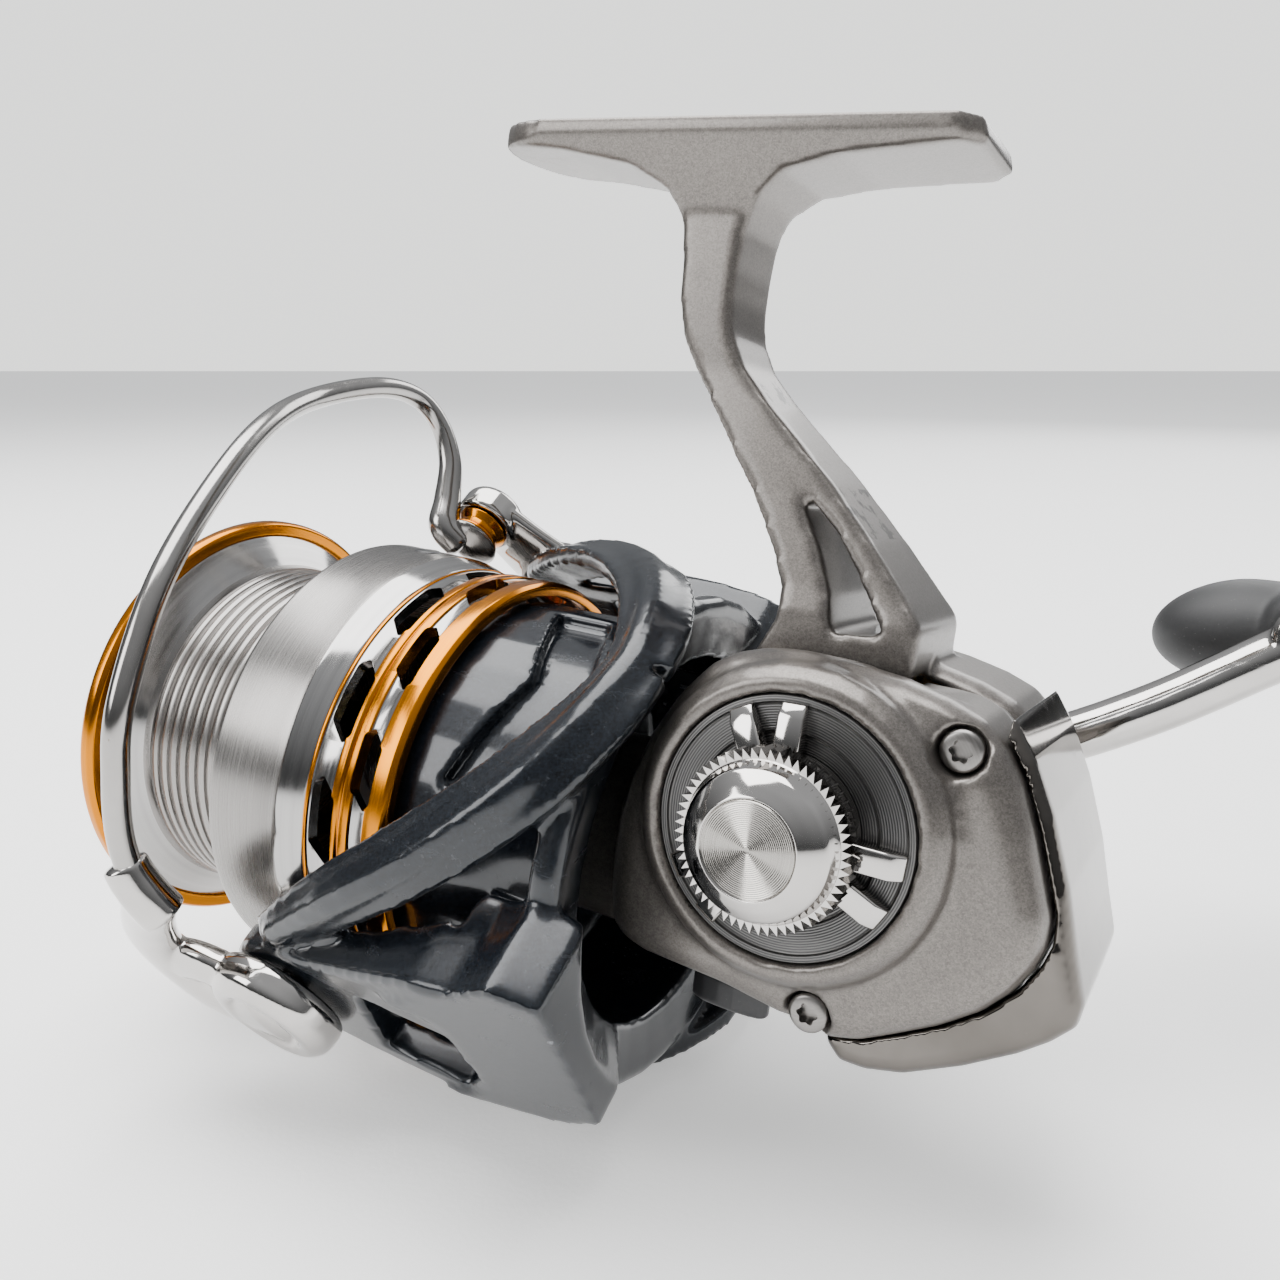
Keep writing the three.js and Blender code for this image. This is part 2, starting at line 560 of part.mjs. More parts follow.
// ================= rotor, turning about the main shaft =================
const pinionTwist = (gap) => {
  const steps = 9;
  const length = pinionFaceX[1] - pinionFaceX[0];
  const flank = [[pinionRootR, -0.25], [pinionPitchR, -0.17 - gap], [pinionTipR, -0.1], [pinionTipR, 0.1],
    [pinionPitchR, 0.17 + gap], [pinionRootR, 0.25]];
  const section = Array.from({ length: pinionTeeth }, (_, i) => flank.map(([r, f]) => [r,
    (i + f) * 360 / pinionTeeth]))
    .flat();
  const lead = 1 / (pinionPitchR * DEG);
  const v = [];
  const faces = [];
  const n = section.length;
  for (let k = 0; k <= steps; k += 1) {
    const x = pinionFaceX[0] + (length * k) / steps;
    const start = pinionPhase + (x - (driveX - meshRun)) * lead;
    for (const [r, deg] of section) {
      const t = (deg + start) * DEG;
      v.push(x, r * Math.cos(t), r * Math.sin(t));
    }
  }
  for (let k = 0; k < steps; k += 1) {
    for (let i = 0; i < n; i += 1) {
      const a = k * n + i;
      const b = k * n + ((i + 1) % n);
      faces.push(a, b, b + n, a, b + n, a + n);
    }
  }
  const near = v.length / 3;
  v.push(pinionFaceX[0], 0, 0, pinionFaceX[1], 0, 0);
  for (let i = 0; i < n; i += 1) {
    const j = (i + 1) % n;
    faces.push(near, j, i, near + 1, steps * n + i, steps * n + j);
  }
  const g = new THREE.BufferGeometry();
  g.setAttribute('position', new THREE.BufferAttribute(new Float32Array(v), 3));
  g.setIndex(faces);
  return solid(g);
};
const pinionPhase = 180 / pinionTeeth;
const rotorWallX = [-13.6, -10.8];
const pinionFrontX = -18.2;
const nutX = [-17.2, rotorWallX[0] - 0.1];
const flatHalf = 2.5;
place('pinion_gear', minus(union([
  pinionTwist(0),
  rodX(journalR, pinionFaceX[1] - 0.5, webX[1], coarse),
  rodX(pinionNoseR, -7.4, pinionFaceX[0] - 0.8, mid),
  rodX(pinionRootR, pinionFaceX[0] - 1.2, pinionFaceX[0] + 0.4, mid),
  rodX(pinionNoseR, pinionFrontX, -7.2, mid).intersect(block(-40, 0, -9, 9, -flatHalf, flatHalf)),
]), [rodX(pinionBoreR, -40, 40, coarse)]), BRASS, 0.9, 0.35);
place('clutch_sleeve', ringX(pinionNoseR + 0.05, pinionNoseR + 0.65, clutchX[0], clutchX[1] + 0.1, mid),
  STEEL, 1, 0.3);

const asRotor = (m) => m.rotate([rotorTurnDeg, 0, 0]);
const cupR = 20.8;
const cupInnerR = 18.6;
const cupFrontX = -18.2;
const cupRearX = 3.2;
const rearRimR = 24.8;
const armInnerR = skirtFrontR + 1.6;
const armFaceS = 28.3;
const armBackS = 29;
const armShape = [
  ...circlePoints(bailPivotX, 0, 6.4, 11, 100, 260), [-20, -8], [-13, -8.8], [-6, -9], [3, -8.6],
  [6.6, -7], [6.6, 12], [3, 14.6], [-6, 13.4], [-13, 10.6], [-20, 8],
];
const armWindow = [[-16.4, -5.2], [-6.6, -6.2], [-4.4, -3], [-5, 4.6], [-15, 5.4]];
const armBlockLine = [[-11, -8.2], [2, -8.4], [6.8, -6.6], [6.8, 14.4], [2.4, 16], [-11, 9], [-6, 7.6],
  [-2.6, 4], [-2.6, -3.4], [-6, -6.2]];
const armTaper = slab([[-8, armFaceS + 0.6], [12, armInnerR + 0.4], [12, 50], [-8, 50]], -40, 40);
const finR = 26.9;
const finSink = 1.3;
const rotorFin = (side, up) => {
  const path = [[16, -25.2], [30, -17], [41, -10], [52, -4.4], [64, 0.2], [78, 3.4], [90, 4.6]];
  return tube(path.map(([deg, x]) => {
    const t = deg * DEG;
    const reach = finR - finSink * Math.sin(t) ** 4;
    return [x, up * reach * Math.sin(t), side * reach * Math.cos(t)];
  }), 2.1, 14, 4);
};
const nutR = 5.4;
const cupShell = spunX([
  [pinionNoseR + 0.05, rotorWallX[0]], [9, rotorWallX[0]], [cupR - 1.6, cupFrontX + 1], [cupR - 0.8,
    cupFrontX],
  [cupR, cupFrontX + 0.8], [cupR, cupRearX - 3], [rearRimR - 0.8, cupRearX - 2.2], [rearRimR, cupRearX - 1.6],
  [rearRimR, cupRearX + 0.4], [rearRimR - 1, cupRearX + 1], [rearRimR - 3.4, cupRearX + 0.6],
  [cupInnerR, cupRearX], [cupInnerR, rotorWallX[1] + 0.6],
  [9.4, rotorWallX[1]], [6.4, rotorWallX[1] + 3.2], [pinionNoseR + 0.05, rotorWallX[1] + 3.2],
], fine);
const armHalf = (side) => {
  const flip = (m) => (side > 0 ? m : m.rotate([180, 0, 0]));
  return flip(union([
    raised(armShape, 18, armFaceS, 0.6, 1),
    raised(armBlockLine, 18, armBackS, 1, 2),
  ]).subtract(raised(armWindow, cupR + 1.2, 40)).subtract(armTaper));
};
const rotorBody = minus(union([
  cupShell,
  armHalf(1), armHalf(-1),
  rotorFin(1, 1), rotorFin(1, -1), rotorFin(-1, 1), rotorFin(-1, -1),
]), [
  ringX(cupR, armInnerR, -60, skirtRearX + 11.4, fine),
  rodX(cupR + 0.01, -60, cupFrontX - 0.01, fine),
  rodX(cupInnerR, rotorWallX[1] + 3.3, 60, fine),
  spunX([[0, 0], [cupInnerR, 0], [cupInnerR, cupRearX], [26, cupRearX + 5], [0, cupRearX + 5]], fine),
  rodX(pinionNoseR + 0.05, -60, 20, mid).intersect(block(-60, 20, -9, 9, -flatHalf - 0.05,
    flatHalf + 0.05)),
  ...[1, -1].map((k) => rod(1.6, 20, 40, coarse).rotate([90 * k, 0, 0]).translate([bailPivotX, 0, 0])),
]);
place('rotor', asRotor(rotorBody), NAVY, 0.4, 0.25);
place('rotor_nut', spunX([[0, nutX[0]], [nutR - 0.4, nutX[0]], [nutR, nutX[0] + 0.5], [nutR, nutX[1]], [0,
  nutX[1]]], 6)
  .subtract(rodX(pinionNoseR + 0.1, nutX[0] - cutOver, nutX[1] + cutOver, mid)), BRASS, 0.9, 0.3);

// ---- bail, drawn about its own hinge: x forward and back, y across, z along the hinge ----
const onBail = (x, t, deg) => [bailPivotX - t * Math.cos(deg * DEG), t * Math.sin(deg * DEG), x];
const wirePath = [
  [30.4, 19.4, 70], [28.8, 23.8, 73.5], [26.2, 28.5, 77.4], [21.8, 33.7, 79.6], [12, 38.6, 78.4],
  [0, 40.5, 74.6], [-11, 40.3, 69], [-21, 38, 62], [-29.6, 34, 58.6], [-34, 30, 55], [-34.2, 25.8, 52.6],
  [-31.8, 22.2, 50], [-27.8, 20, 48.4], [-25, 18.6, 47],
].map((p) => onBail(...p));
const rollerCentre = [bailPivotX - 13.8 * Math.cos(47 * DEG), 13.8 * Math.sin(47 * DEG)];
const rollerR = 3.3;
const leverS = [armFaceS + bladeGap, 32.6];
const rollerS = [-28.5, -26];
const coneBackS = -25.8;
const holderLine = outline([
  [-18.6, -2], [-20.6, -6.4], [-26, -8.6], [-32, -8], [-38.4, -6.4], [-42.2, -1.6], [-42, 5.4], [-39.6,
    11.6],
  [-36.2, 16.6], [-33, 17.6], [-31.8, 15], [-33.6, 10.6], [-33.4, 7.2], [-29, 7.4], [-22.6, 5.8],
], 28);
const alongS = (m) => m.rotate([90, 0, 0]);
const atPivot = (m) => m.translate([bailPivotX, 0, 0]);
const wireCollar = tube([onBail(30.9, 16.6, 71), onBail(30.4, 19.4, 70), onBail(29.8, 21.4, 69.6)], 2, 4,
  6);
place('bail_holder', asRotor(minus(union([
  raised(holderLine, ...leverS, 1.1, 1),
  wireCollar,
]), [
  atPivot(alongS(rod(1.9, 20, 50, coarse))),
  atPivot(alongS(rod(3.4, leverS[1] - 1.6, 60, coarse))),
  tube(wirePath.slice(0, 4), bailWireR + 0.06, 6, 6),
])), CHROME, 1, 0.12);
const wireInside = onBail(-24.5, 14.8, 47);
place('bail_wire', asRotor(union([
  tube([...wirePath, wireInside], bailWireR, 44, 5),
  alongS(spun([[0, -23.9], [1.3, -24.3], [rollerR - 0.1, coneBackS + 0.5], [rollerR + 0.2, coneBackS], [0,
    coneBackS]],
    coarse)).translate([rollerCentre[0], rollerCentre[1], 0]),
])), CHROME, 1, 0.12);

// Smallest convex outline round a few circles.
function hull(circles, count = 18) {
  const p = circles.flatMap(([x, y, r]) => circlePoints(x, y, r, count)).sort((a,
    b) => a[0] - b[0] || a[1] - b[1]);
  const turn = (a, b, c) => (b[0] - a[0]) * (c[1] - a[1]) - (b[1] - a[1]) * (c[0] - a[0]);
  const half = (list) => {
    const out = [];
    for (const q of list) {
      while (out.length > 1 && turn(out[out.length - 2], out[out.length - 1], q) <= 1e-9) out.pop();
      out.push(q);
    }
    return out.slice(0, -1);
  };
  return [...half(p), ...half(p.reverse())];
}
const atRoller = (m) => m.translate([rollerCentre[0], rollerCentre[1], 0]);
const farSide = (m) => m.rotate([-90, 0, 0]);
place('roller_lever', asRotor(minus(
  raised(hull([[bailPivotX, 0, 7.2], [...rollerCentre, 4]]), -leverS[1], -leverS[0], 0.8, 2),
  [
    atPivot(farSide(rod(1.9, 20, 50, coarse))),
    atPivot(farSide(rod(3.4, leverS[1] - 1.6, 60, coarse))),
    atRoller(farSide(rod(1.2, 20, 50, coarse))),
  ])), CHROME, 1, 0.15);
place('line_roller', asRotor(atRoller(farSide(spun([[1.5, -rollerS[1]], [rollerR, -rollerS[1]],
  [rollerR - 0.5, -rollerS[1] + 0.7], [rollerR - 0.7, -rollerS[1] + 1.6], [rollerR, -rollerS[0]], [1.5,
    -rollerS[0]]],
mid)))), GOLD, 1, 0.2);
place('roller_screw', asRotor(atRoller(farSide(union([
  rod(1.1, -coneBackS + 0.1, leverS[1] - 0.2, coarse),
  rod(2.4, leverS[1] + 0.1, leverS[1] + 0.9, coarse),
  rod(1.1, leverS[1] - 0.4, leverS[1] + 0.3, coarse),
]).subtract(spun([[0, leverS[1] + 0.4], [0.7, leverS[1] + 0.4], [0.7, 40], [0, 40]], 6))))), STEEL, 1, 0.3);
const pivotScrew = (flip) => asRotor(atPivot(flip(union([
  rod(1.5, armInnerR + 0.6, leverS[1] - 1, coarse),
  rod(3.2, leverS[1] - 1.5, leverS[1] - 0.5, coarse),
]).subtract(spun([[0, leverS[1] - 1.1], [0.9, leverS[1] - 1.1], [0.9, 40], [0, 40]], 6)))));
place('pivot_screw_near', pivotScrew(alongS), STEEL, 1, 0.3);
place('pivot_screw_far', pivotScrew(farSide), STEEL, 1, 0.3);

// ================= spool, on the main shaft =================
const trunkX = [-52.2, -38];
const hollowR = 15.8;
const skirtInnerR = skirtRearR - skirtWall;
const flangeR = 24;
const slopeEndX = skirtFrontX + 3;
const hubBoreR = mainShaftR + 0.9;
const dragR = 9.6;
const dragFloorX = -49.4;
const spoolBody = spunX([
  [hubBoreR, dragFloorX], [dragR, dragFloorX], [dragR, lipFrontX + 3.2], [18.6, lipFrontX + 3], [20.2,
    lipFrontX + 1],
  [lipR - 1.5, lipFrontX + 0.6], [lipR - 1.5, lipFrontX + 2.2], [lipR - 2, lipFrontX + 3],
  [trunkR, trunkX[0]], [trunkR, trunkX[1]], [flangeR, trunkX[1] + 1.3], [skirtFrontR, skirtFrontX],
  [skirtRearR, slopeEndX], [skirtRearR, skirtRearX - 0.4], [skirtRearR - 0.4, skirtRearX],
  [skirtInnerR, skirtRearX], [skirtInnerR, -30.6], [hollowR, -35], [hollowR, dragFloorX + 2],
  [hubBoreR + 2.4, dragFloorX + 2], [hubBoreR + 2.4, -33.4], [hubBoreR, -33.4],
], fine);
const windowCount = 12;
const windowHalf = 3.9;
const windowLine = (x0, x1, half) => [[x0, -half], [x0, half * 0.7], [x1, half], [x1, -half * 0.7]];
const windows = (x0, x1, phase) => Array.from({ length: windowCount }, (_, i) =>
  raised(windowLine(x0, x1, windowHalf), skirtInnerR - 2,
    skirtFrontR + 3).rotate([(360 * (i + phase)) / windowCount, 0, 0]));
const clipSeat = [-31.6, flangeR - 1.4, flangeR + 0.1];
place('spool', minus(spoolBody, [
  ...windows(-24.3, -21.9, 0), ...windows(-19.7, -17.7, 0.5),
  rod(1.65, 0, 4, coarse).rotate([90, 0, 0]).translate([clipSeat[0], 0, clipSeat[1] - 0.1]),
]), ALLOY, 1, 0.3);
place('spool_lip', spunX([[lipR - 1.4, lipFrontX + 0.5], [lipR - 0.7, lipFrontX], [lipR, lipFrontX + 0.7],
  [lipR, lipFrontX + 1.7], [lipR - 0.6, lipFrontX + 2.3], [lipR - 1.4, lipFrontX + 2.2]], fine), GOLD, 1,
    0.25);
const bushX = [[dragFloorX + 0.1, dragFloorX + 2.6], [-36, -33.6]];
bushX.forEach(([x0, x1], i) => place(`spool_bush_${i + 1}`,
  ringX(mainShaftR + runningGap, hubBoreR - 0.05, x0, x1, coarse), BRASS, 0.6, 0.4));
const washerT = 0.7;
const washers = ['felt', 'metal', 'felt', 'metal'];
washers.forEach((kind, i) => {
  const x1 = dragFloorX - 0.1 - i * (washerT + 0.1);
  place(`drag_washer_${i + 1}`, ringX(kind === 'felt' ? 3 : mainShaftR + 0.2, dragR - 0.5, x1 - washerT,
    x1, mid),
    kind === 'felt' ? BLACK : STEEL, kind === 'felt' ? 0 : 1, 0.6);
});
const ringStackX = dragFloorX - 0.1 - washers.length * (washerT + 0.1);
place('drag_clip', ringX(dragR - 1.6, dragR - 0.1, ringStackX - 0.7, ringStackX, mid), STEEL, 1, 0.4);
place('line_clip', spun([[0, 0], [1.5, 0], [1.5, clipSeat[2] - clipSeat[1] - 0.3], [0.9,
  clipSeat[2] - clipSeat[1]],
  [0, clipSeat[2] - clipSeat[1]]], coarse).rotate([90, 0, 0]).translate([clipSeat[0], 0, clipSeat[1]]),
    BLACK, 0.2, 0.4);
const clickR = 5.2;
place('click_gear', spunX([[hubBoreR + 2.5, -34.4], [clickR + 2, -34.4], [clickR + 2, -33.6],
  [hubBoreR + 2.5, -33.6]], 20),
  BLACK, 0.1, 0.6);

// ---- drag knob ----
const dragKnobR = 13.4;
const dragKnobX = [knobFaceX, lipFrontX + 2.6];
const gripBar = block(knobFaceX - 1.2, knobFaceX + 1, -dragKnobR + 2.2, dragKnobR - 2.2, -1.9, 1.9);
place('drag_knob', minus(union([
  spunX([[0, dragKnobX[0]], [dragKnobR - 3, dragKnobX[0]], [dragKnobR - 1, dragKnobX[0] + 1],
    [dragKnobR, dragKnobX[0] + 3], [dragKnobR, dragKnobX[0] + 5.4], [dragKnobR - 1.4, dragKnobX[1]], [0,
      dragKnobX[1]]],
  fine),
  gripBar,
]), [rodX(mainShaftR + 0.1, knobFaceX + 1.4, 0, coarse), ringX(3.4, 8.6, dragKnobX[1] - 3, 0, mid)]),
  ALLOY, 0.9, 0.35);
const pressX = [dragKnobX[1] + 0.2, ringStackX - 0.1];
place('drag_spring', ringX(3.6, 8.2, dragKnobX[1] - 2.8, dragKnobX[1] - 0.3, coarse), STEEL, 1, 0.4);
place('drag_press', ringX(mainShaftR + 0.2, 7.6, pressX[0], pressX[1], coarse), STEEL, 1, 0.4);

export default root;
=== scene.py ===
"""Spinning reel: the visual model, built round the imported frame.

Lengths in this file are millimetres about the main shaft's axis, +X to the rear, +Y to the handle side
and +Z up. Every finished mesh is placed in the frame's own metres.
"""
import json
import logging
import math
from collections.abc import Callable, Iterable, Mapping, Sequence
from dataclasses import dataclass, field
from enum import Enum

import bmesh
import bpy
from mathutils import Matrix, Vector


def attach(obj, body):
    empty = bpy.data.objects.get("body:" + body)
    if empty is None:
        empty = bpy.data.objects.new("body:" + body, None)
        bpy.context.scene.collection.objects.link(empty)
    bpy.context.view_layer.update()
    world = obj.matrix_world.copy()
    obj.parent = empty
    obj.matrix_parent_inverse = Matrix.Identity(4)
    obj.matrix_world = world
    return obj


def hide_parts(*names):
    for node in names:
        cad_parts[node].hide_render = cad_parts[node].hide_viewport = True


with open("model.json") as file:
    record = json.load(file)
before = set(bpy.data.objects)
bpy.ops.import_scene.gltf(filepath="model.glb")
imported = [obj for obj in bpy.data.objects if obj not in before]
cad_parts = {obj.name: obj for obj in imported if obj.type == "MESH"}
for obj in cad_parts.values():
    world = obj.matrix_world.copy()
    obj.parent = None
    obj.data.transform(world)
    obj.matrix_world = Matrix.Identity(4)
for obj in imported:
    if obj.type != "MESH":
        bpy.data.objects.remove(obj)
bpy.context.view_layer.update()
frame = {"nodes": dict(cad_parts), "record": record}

LOG = logging.getLogger("reel")

MM = 0.001
SHAFT_DROP = 67.4
TO_FRAME = Matrix.Scale(MM, 4) @ Matrix.Translation((0, 0, -SHAFT_DROP))

Pair = tuple[float, float]
Triple = tuple[float, float, float]


# ============================ where things sit ============================

def turn(degrees: float, axis: str) -> Matrix:
    """A rotation by so many degrees about one of the main axes."""
    return Matrix.Rotation(math.radians(degrees), 4, axis)


DRIVE_AT = (19.5, 0.0, 9.2)
BAIL_PIVOT_X = -26.3
ALONG_Y = turn(90, "Z")
ON_DRIVE = Matrix.Translation(DRIVE_AT) @ ALONG_Y
ON_ROTOR = turn(130, "X")
NEAR_PIVOT = ON_ROTOR @ Matrix.Translation((BAIL_PIVOT_X, 0, 0)) @ turn(-90, "Y")
FAR_PIVOT = ON_ROTOR @ Matrix.Translation((BAIL_PIVOT_X, 0, 0)) @ turn(90, "Y")
ROLLER_AT = (
    BAIL_PIVOT_X - 13.8 * math.cos(math.radians(47)),
    13.8 * math.sin(math.radians(47)),
)
ON_ROLLER = ON_ROTOR @ Matrix.Translation((*ROLLER_AT, 0)) @ turn(90, "Y")
ARM_END = (36.0, 18.1)
KNOB_AT = Matrix.Translation((DRIVE_AT[0] + ARM_END[0], 0, DRIVE_AT[2] + ARM_END[1]))


class Body(Enum):
    """The moving bodies of the frame."""

    HOUSING = "body"
    STOPPER = "stopper"
    DRIVE = "drive"
    KNOB = "knob"
    CRANK = "crank"
    ROTOR = "rotor"
    BAIL = "bail"
    ROLLER = "roller"
    SHAFT = "shaft"
    SPOOL = "spool"
    DRAG = "drag"


class Slot(Enum):
    """The record's material slots."""

    BODY_PAINT = "body_paint"
    ROTOR_PAINT = "rotor_paint"
    DISC_PAINT = "disc_paint"
    SPOOL_ALLOY = "spool_alloy"
    GOLD = "gold_anodise"
    CHROME = "chrome"
    SMOKED_CHROME = "smoked_chrome"
    STEEL = "steel"
    BRASS = "gear_brass"
    BLACK_PLASTIC = "black_plastic"
    RUBBER = "knob_rubber"
    FELT = "felt"


# ============================ shapes ============================

@dataclass
class Shape:
    """A mesh in the making: points in millimetres and the faces between them."""

    points: list[Vector] = field(default_factory=list)
    faces: list[tuple[int, ...]] = field(default_factory=list)

    def moved(self, matrix: Matrix) -> "Shape":
        """The same shape carried by a matrix."""
        return Shape([matrix @ p for p in self.points], list(self.faces))

    def __add__(self, other: "Shape") -> "Shape":
        """Both shapes as one."""
        shift = len(self.points)
        faces = [tuple(i + shift for i in face) for face in other.faces]
        return Shape(self.points + other.points, self.faces + faces)


def total(shapes: Iterable[Shape]) -> Shape:
    """All the shapes as one."""
    out = Shape()
    for shape in shapes:
        out = out + shape
    return out


def eased(points: Sequence[Pair], radius: float, steps: int = 4, closed: bool = False) -> list[Pair]:
    """Rounds the corners of a line.

    Args:
        points: the line's corners.
        radius: how far from each corner the rounding starts, at most.
        steps: the number of spans in each rounded corner.
        closed: whether the line runs back to its start.

    Returns:
        The rounded line.
    """
    count = len(points)
    line: list[Pair] = []
    for i, corner in enumerate(points):
        if not closed and i in (0, count - 1):
            line.append(corner)
            continue
        here = Vector(corner)
        before = Vector(points[i - 1])
        after = Vector(points[(i + 1) % count])
        reach_in = min(radius, (before - here).length * 0.45)
        reach_out = min(radius, (after - here).length * 0.45)
        start = here + (before - here).normalized() * reach_in
        end = here + (after - here).normalized() * reach_out
        for k in range(steps + 1):
            t = k / steps
            p = start * (1 - t) ** 2 + here * (2 * t * (1 - t)) + end * t ** 2
            line.append((p.x, p.y))
    return line


def turned(profile: Sequence[Pair], segments: int = 128,
           lobes: Callable[[float], float] | None = None) -> Shape:
    """A turned shape about the local X axis.

    Args:
        profile: radius and place along the axis; a profile that starts off the axis is closed on itself.
        segments: the number of steps round the axis.
        lobes: a factor on the radius for an angle, for shapes that aren't round.

    Returns:
        The shape.
    """
    shape = Shape()
    rings: list[list[int]] = []
    for radius, along in profile:
        if radius < 1e-6:
            shape.points.append(Vector((along, 0, 0)))
            rings.append([len(shape.points) - 1] * segments)
            continue
        ring = []
        for k in range(segments):
            angle = math.tau * k / segments
            reach = radius * (lobes(angle) if lobes else 1)
            shape.points.append(Vector((along, reach * math.cos(angle), reach * math.sin(angle))))
            ring.append(len(shape.points) - 1)
        rings.append(ring)
    spans = list(zip(rings, rings[1:]))
    if profile[0][0] > 1e-6:
        spans.append((rings[-1], rings[0]))
    for low, high in spans:
        for k in range(segments):
            j = (k + 1) % segments
            corners = [low[k], low[j], high[j], high[k]]
            face = tuple(dict.fromkeys(corners))
            if len(face) > 2:
                shape.faces.append(face)
    return shape


def curve_through(points: Sequence[Triple], steps: int) -> list[Vector]:
    """Evenly stepped points on a smooth curve through a few given ones."""
    known = [Vector(p) for p in points]
    spans = len(known) - 1
    padded = [known[0] * 2 - known[1], *known, known[-1] * 2 - known[-2]]
    out = []
    for k in range(steps + 1):
        place = k / steps * spans
        i = min(int(place), spans - 1)
        t = place - i
        a, b, c, d = padded[i:i + 4]
        out.append(0.5 * (2 * b + (c - a) * t + (2 * a - 5 * b + 4 * c - d) * t ** 2
                          + (3 * b - a - 3 * c + d) * t ** 3))
    return out


def swept(
    path: Sequence[Vector],
    section: Callable[[float], Sequence[Pair]],
    side: Callable[[Vector], Vector] | None = None,
    dome: float = 0.0,
) -> Shape:
    """A section carried along a path, closed at both ends.

    Args:
        path: the path's points.
        section: the section's outline for a place from 0 to 1 along the path.
        side: the direction of the section's first axis at a point; without it the section isn't twisted.
        dome: how far the ends bulge, in section sizes.

    Returns:
        The shape.
    """
    shape = Shape()
    last = len(path) - 1
    carried = Vector((0.3, 0.9, 0.2))
    rings: list[list[int]] = []
    frames = []
    for i, here in enumerate(path):
        ahead = (path[min(i + 1, last)] - path[max(i - 1, 0)]).normalized()
        first = side(here) if side else carried
        first = (first - ahead * first.dot(ahead)).normalized()
        carried = first
        frames.append((here, ahead, first, ahead.cross(first)))
    stations = [(frames[0], 0.0, -dome, 0.6), (frames[0], 0.0, -dome * 0.6, 0.85)] if dome else []
    stations += [(f, i / last, 0.0, 1.0) for i, f in enumerate(frames)]
    if dome:
        stations += [(frames[-1], 1.0, dome * 0.6, 0.85), (frames[-1], 1.0, dome, 0.6)]
    for (here, ahead, first, second), t, push, size in stations:
        outline = section(t)
        reach = max(math.hypot(u, v) for u, v in outline)
        ring = []
        for u, v in outline:
            point = here + ahead * (push * reach) + first * (u * size) + second * (v * size)
            shape.points.append(point)
            ring.append(len(shape.points) - 1)
        rings.append(ring)
    count = len(rings[0])
    for low, high in zip(rings, rings[1:]):
        for k in range(count):
            j = (k + 1) % count
            shape.faces.append((low[k], low[j], high[j], high[k]))
    shape.faces.append(tuple(reversed(rings[0])))
    shape.faces.append(tuple(rings[-1]))
    return shape


def oval(wide: float, tall: float, count: int = 32) -> list[Pair]:
    """An oval outline."""
    angles = [math.tau * k / count for k in range(count)]
    return [(wide * math.cos(a), tall * math.sin(a)) for a in angles]


def slab(outline: Sequence[Pair], low: float, high: float) -> Shape:
    """A flat outline in X and Y raised along Z."""
    count = len(outline)
    shape = Shape([Vector((x, y, z)) for z in (low, high) for x, y in outline])
    for k in range(count):
        j = (k + 1) % count
        shape.faces.append((k, j, j + count, k + count))
    shape.faces.append(tuple(reversed(range(count))))
    shape.faces.append(tuple(range(count, 2 * count)))
    return shape


def arc_block(radii: Pair, span: Pair, angles: Pair, skew: float = 0.0, steps: int = 16) -> Shape:
    """A curved block about the X axis: a stretch of a ring, its sides skewed along X."""
    path = []
    for k in range(steps + 1):
        t = k / steps
        angle = math.radians(angles[0] + (angles[1] - angles[0]) * t)
        path.append((angle, skew * (t - 0.5)))
    shape = Shape()
    for angle, shift in path:
        corners = ((radii[0], span[0]), (radii[1], span[0]), (radii[1], span[1]), (radii[0], span[1]))
        for radius, along in corners:
            shape.points.append(Vector((along + shift, radius * math.sin(angle), radius * math.cos(angle))))
    for k in range(steps):
        for c in range(4):
            d = (c + 1) % 4
            shape.faces.append((k * 4 + c, k * 4 + d, k * 4 + 4 + d, k * 4 + 4 + c))
    shape.faces.append((3, 2, 1, 0))
    shape.faces.append(tuple(steps * 4 + c for c in range(4)))
    return shape


# ============================ meshes ============================

def as_mesh(name: str, shape: Shape, place: Matrix = Matrix.Identity(4)) -> bpy.types.Object:
    """Makes an object of a shape, in the frame's metres, with its faces outwards."""
    mesh = bpy.data.meshes.new(name)
    moved = shape.moved(TO_FRAME @ place)
    mesh.from_pydata([tuple(p) for p in moved.points], [], moved.faces)
    build = bmesh.new()
    build.from_mesh(mesh)
    bmesh.ops.remove_doubles(build, verts=build.verts, dist=1e-7)
    bmesh.ops.recalc_face_normals(build, faces=build.faces)
    build.to_mesh(mesh)
    build.free()
    thing = bpy.data.objects.new(name, mesh)
    bpy.context.scene.collection.objects.link(thing)
    return thing


def copy_of(node: str) -> bpy.types.Object:
    """A merged copy of a frame node's mesh, as a new object."""
    mesh = frame["nodes"][node].data.copy()
    mesh.materials.clear()
    build = bmesh.new()
    build.from_mesh(mesh)
    bmesh.ops.remove_doubles(build, verts=build.verts, dist=2e-6)
    build.to_mesh(mesh)
    build.free()
    thing = bpy.data.objects.new(f"{node}_copy", mesh)
    bpy.context.scene.collection.objects.link(thing)
    return thing


def settled(thing: bpy.types.Object) -> bpy.types.Object:
    """Makes an object's modifiers part of its mesh."""
    bpy.context.view_layer.update()
    graph = bpy.context.evaluated_depsgraph_get()
    mesh = bpy.data.meshes.new_from_object(thing.evaluated_get(graph))
    thing.modifiers.clear()
    thing.data = mesh
    return thing


def joined(things: Sequence[bpy.types.Object]) -> bpy.types.Object:
    """The first object with the meshes of all of them; the others go."""
    build = bmesh.new()
    for thing in things:
        build.from_mesh(thing.data)
    build.to_mesh(things[0].data)
    build.free()
    for thing in things[1:]:
        bpy.data.objects.remove(thing)
    return things[0]


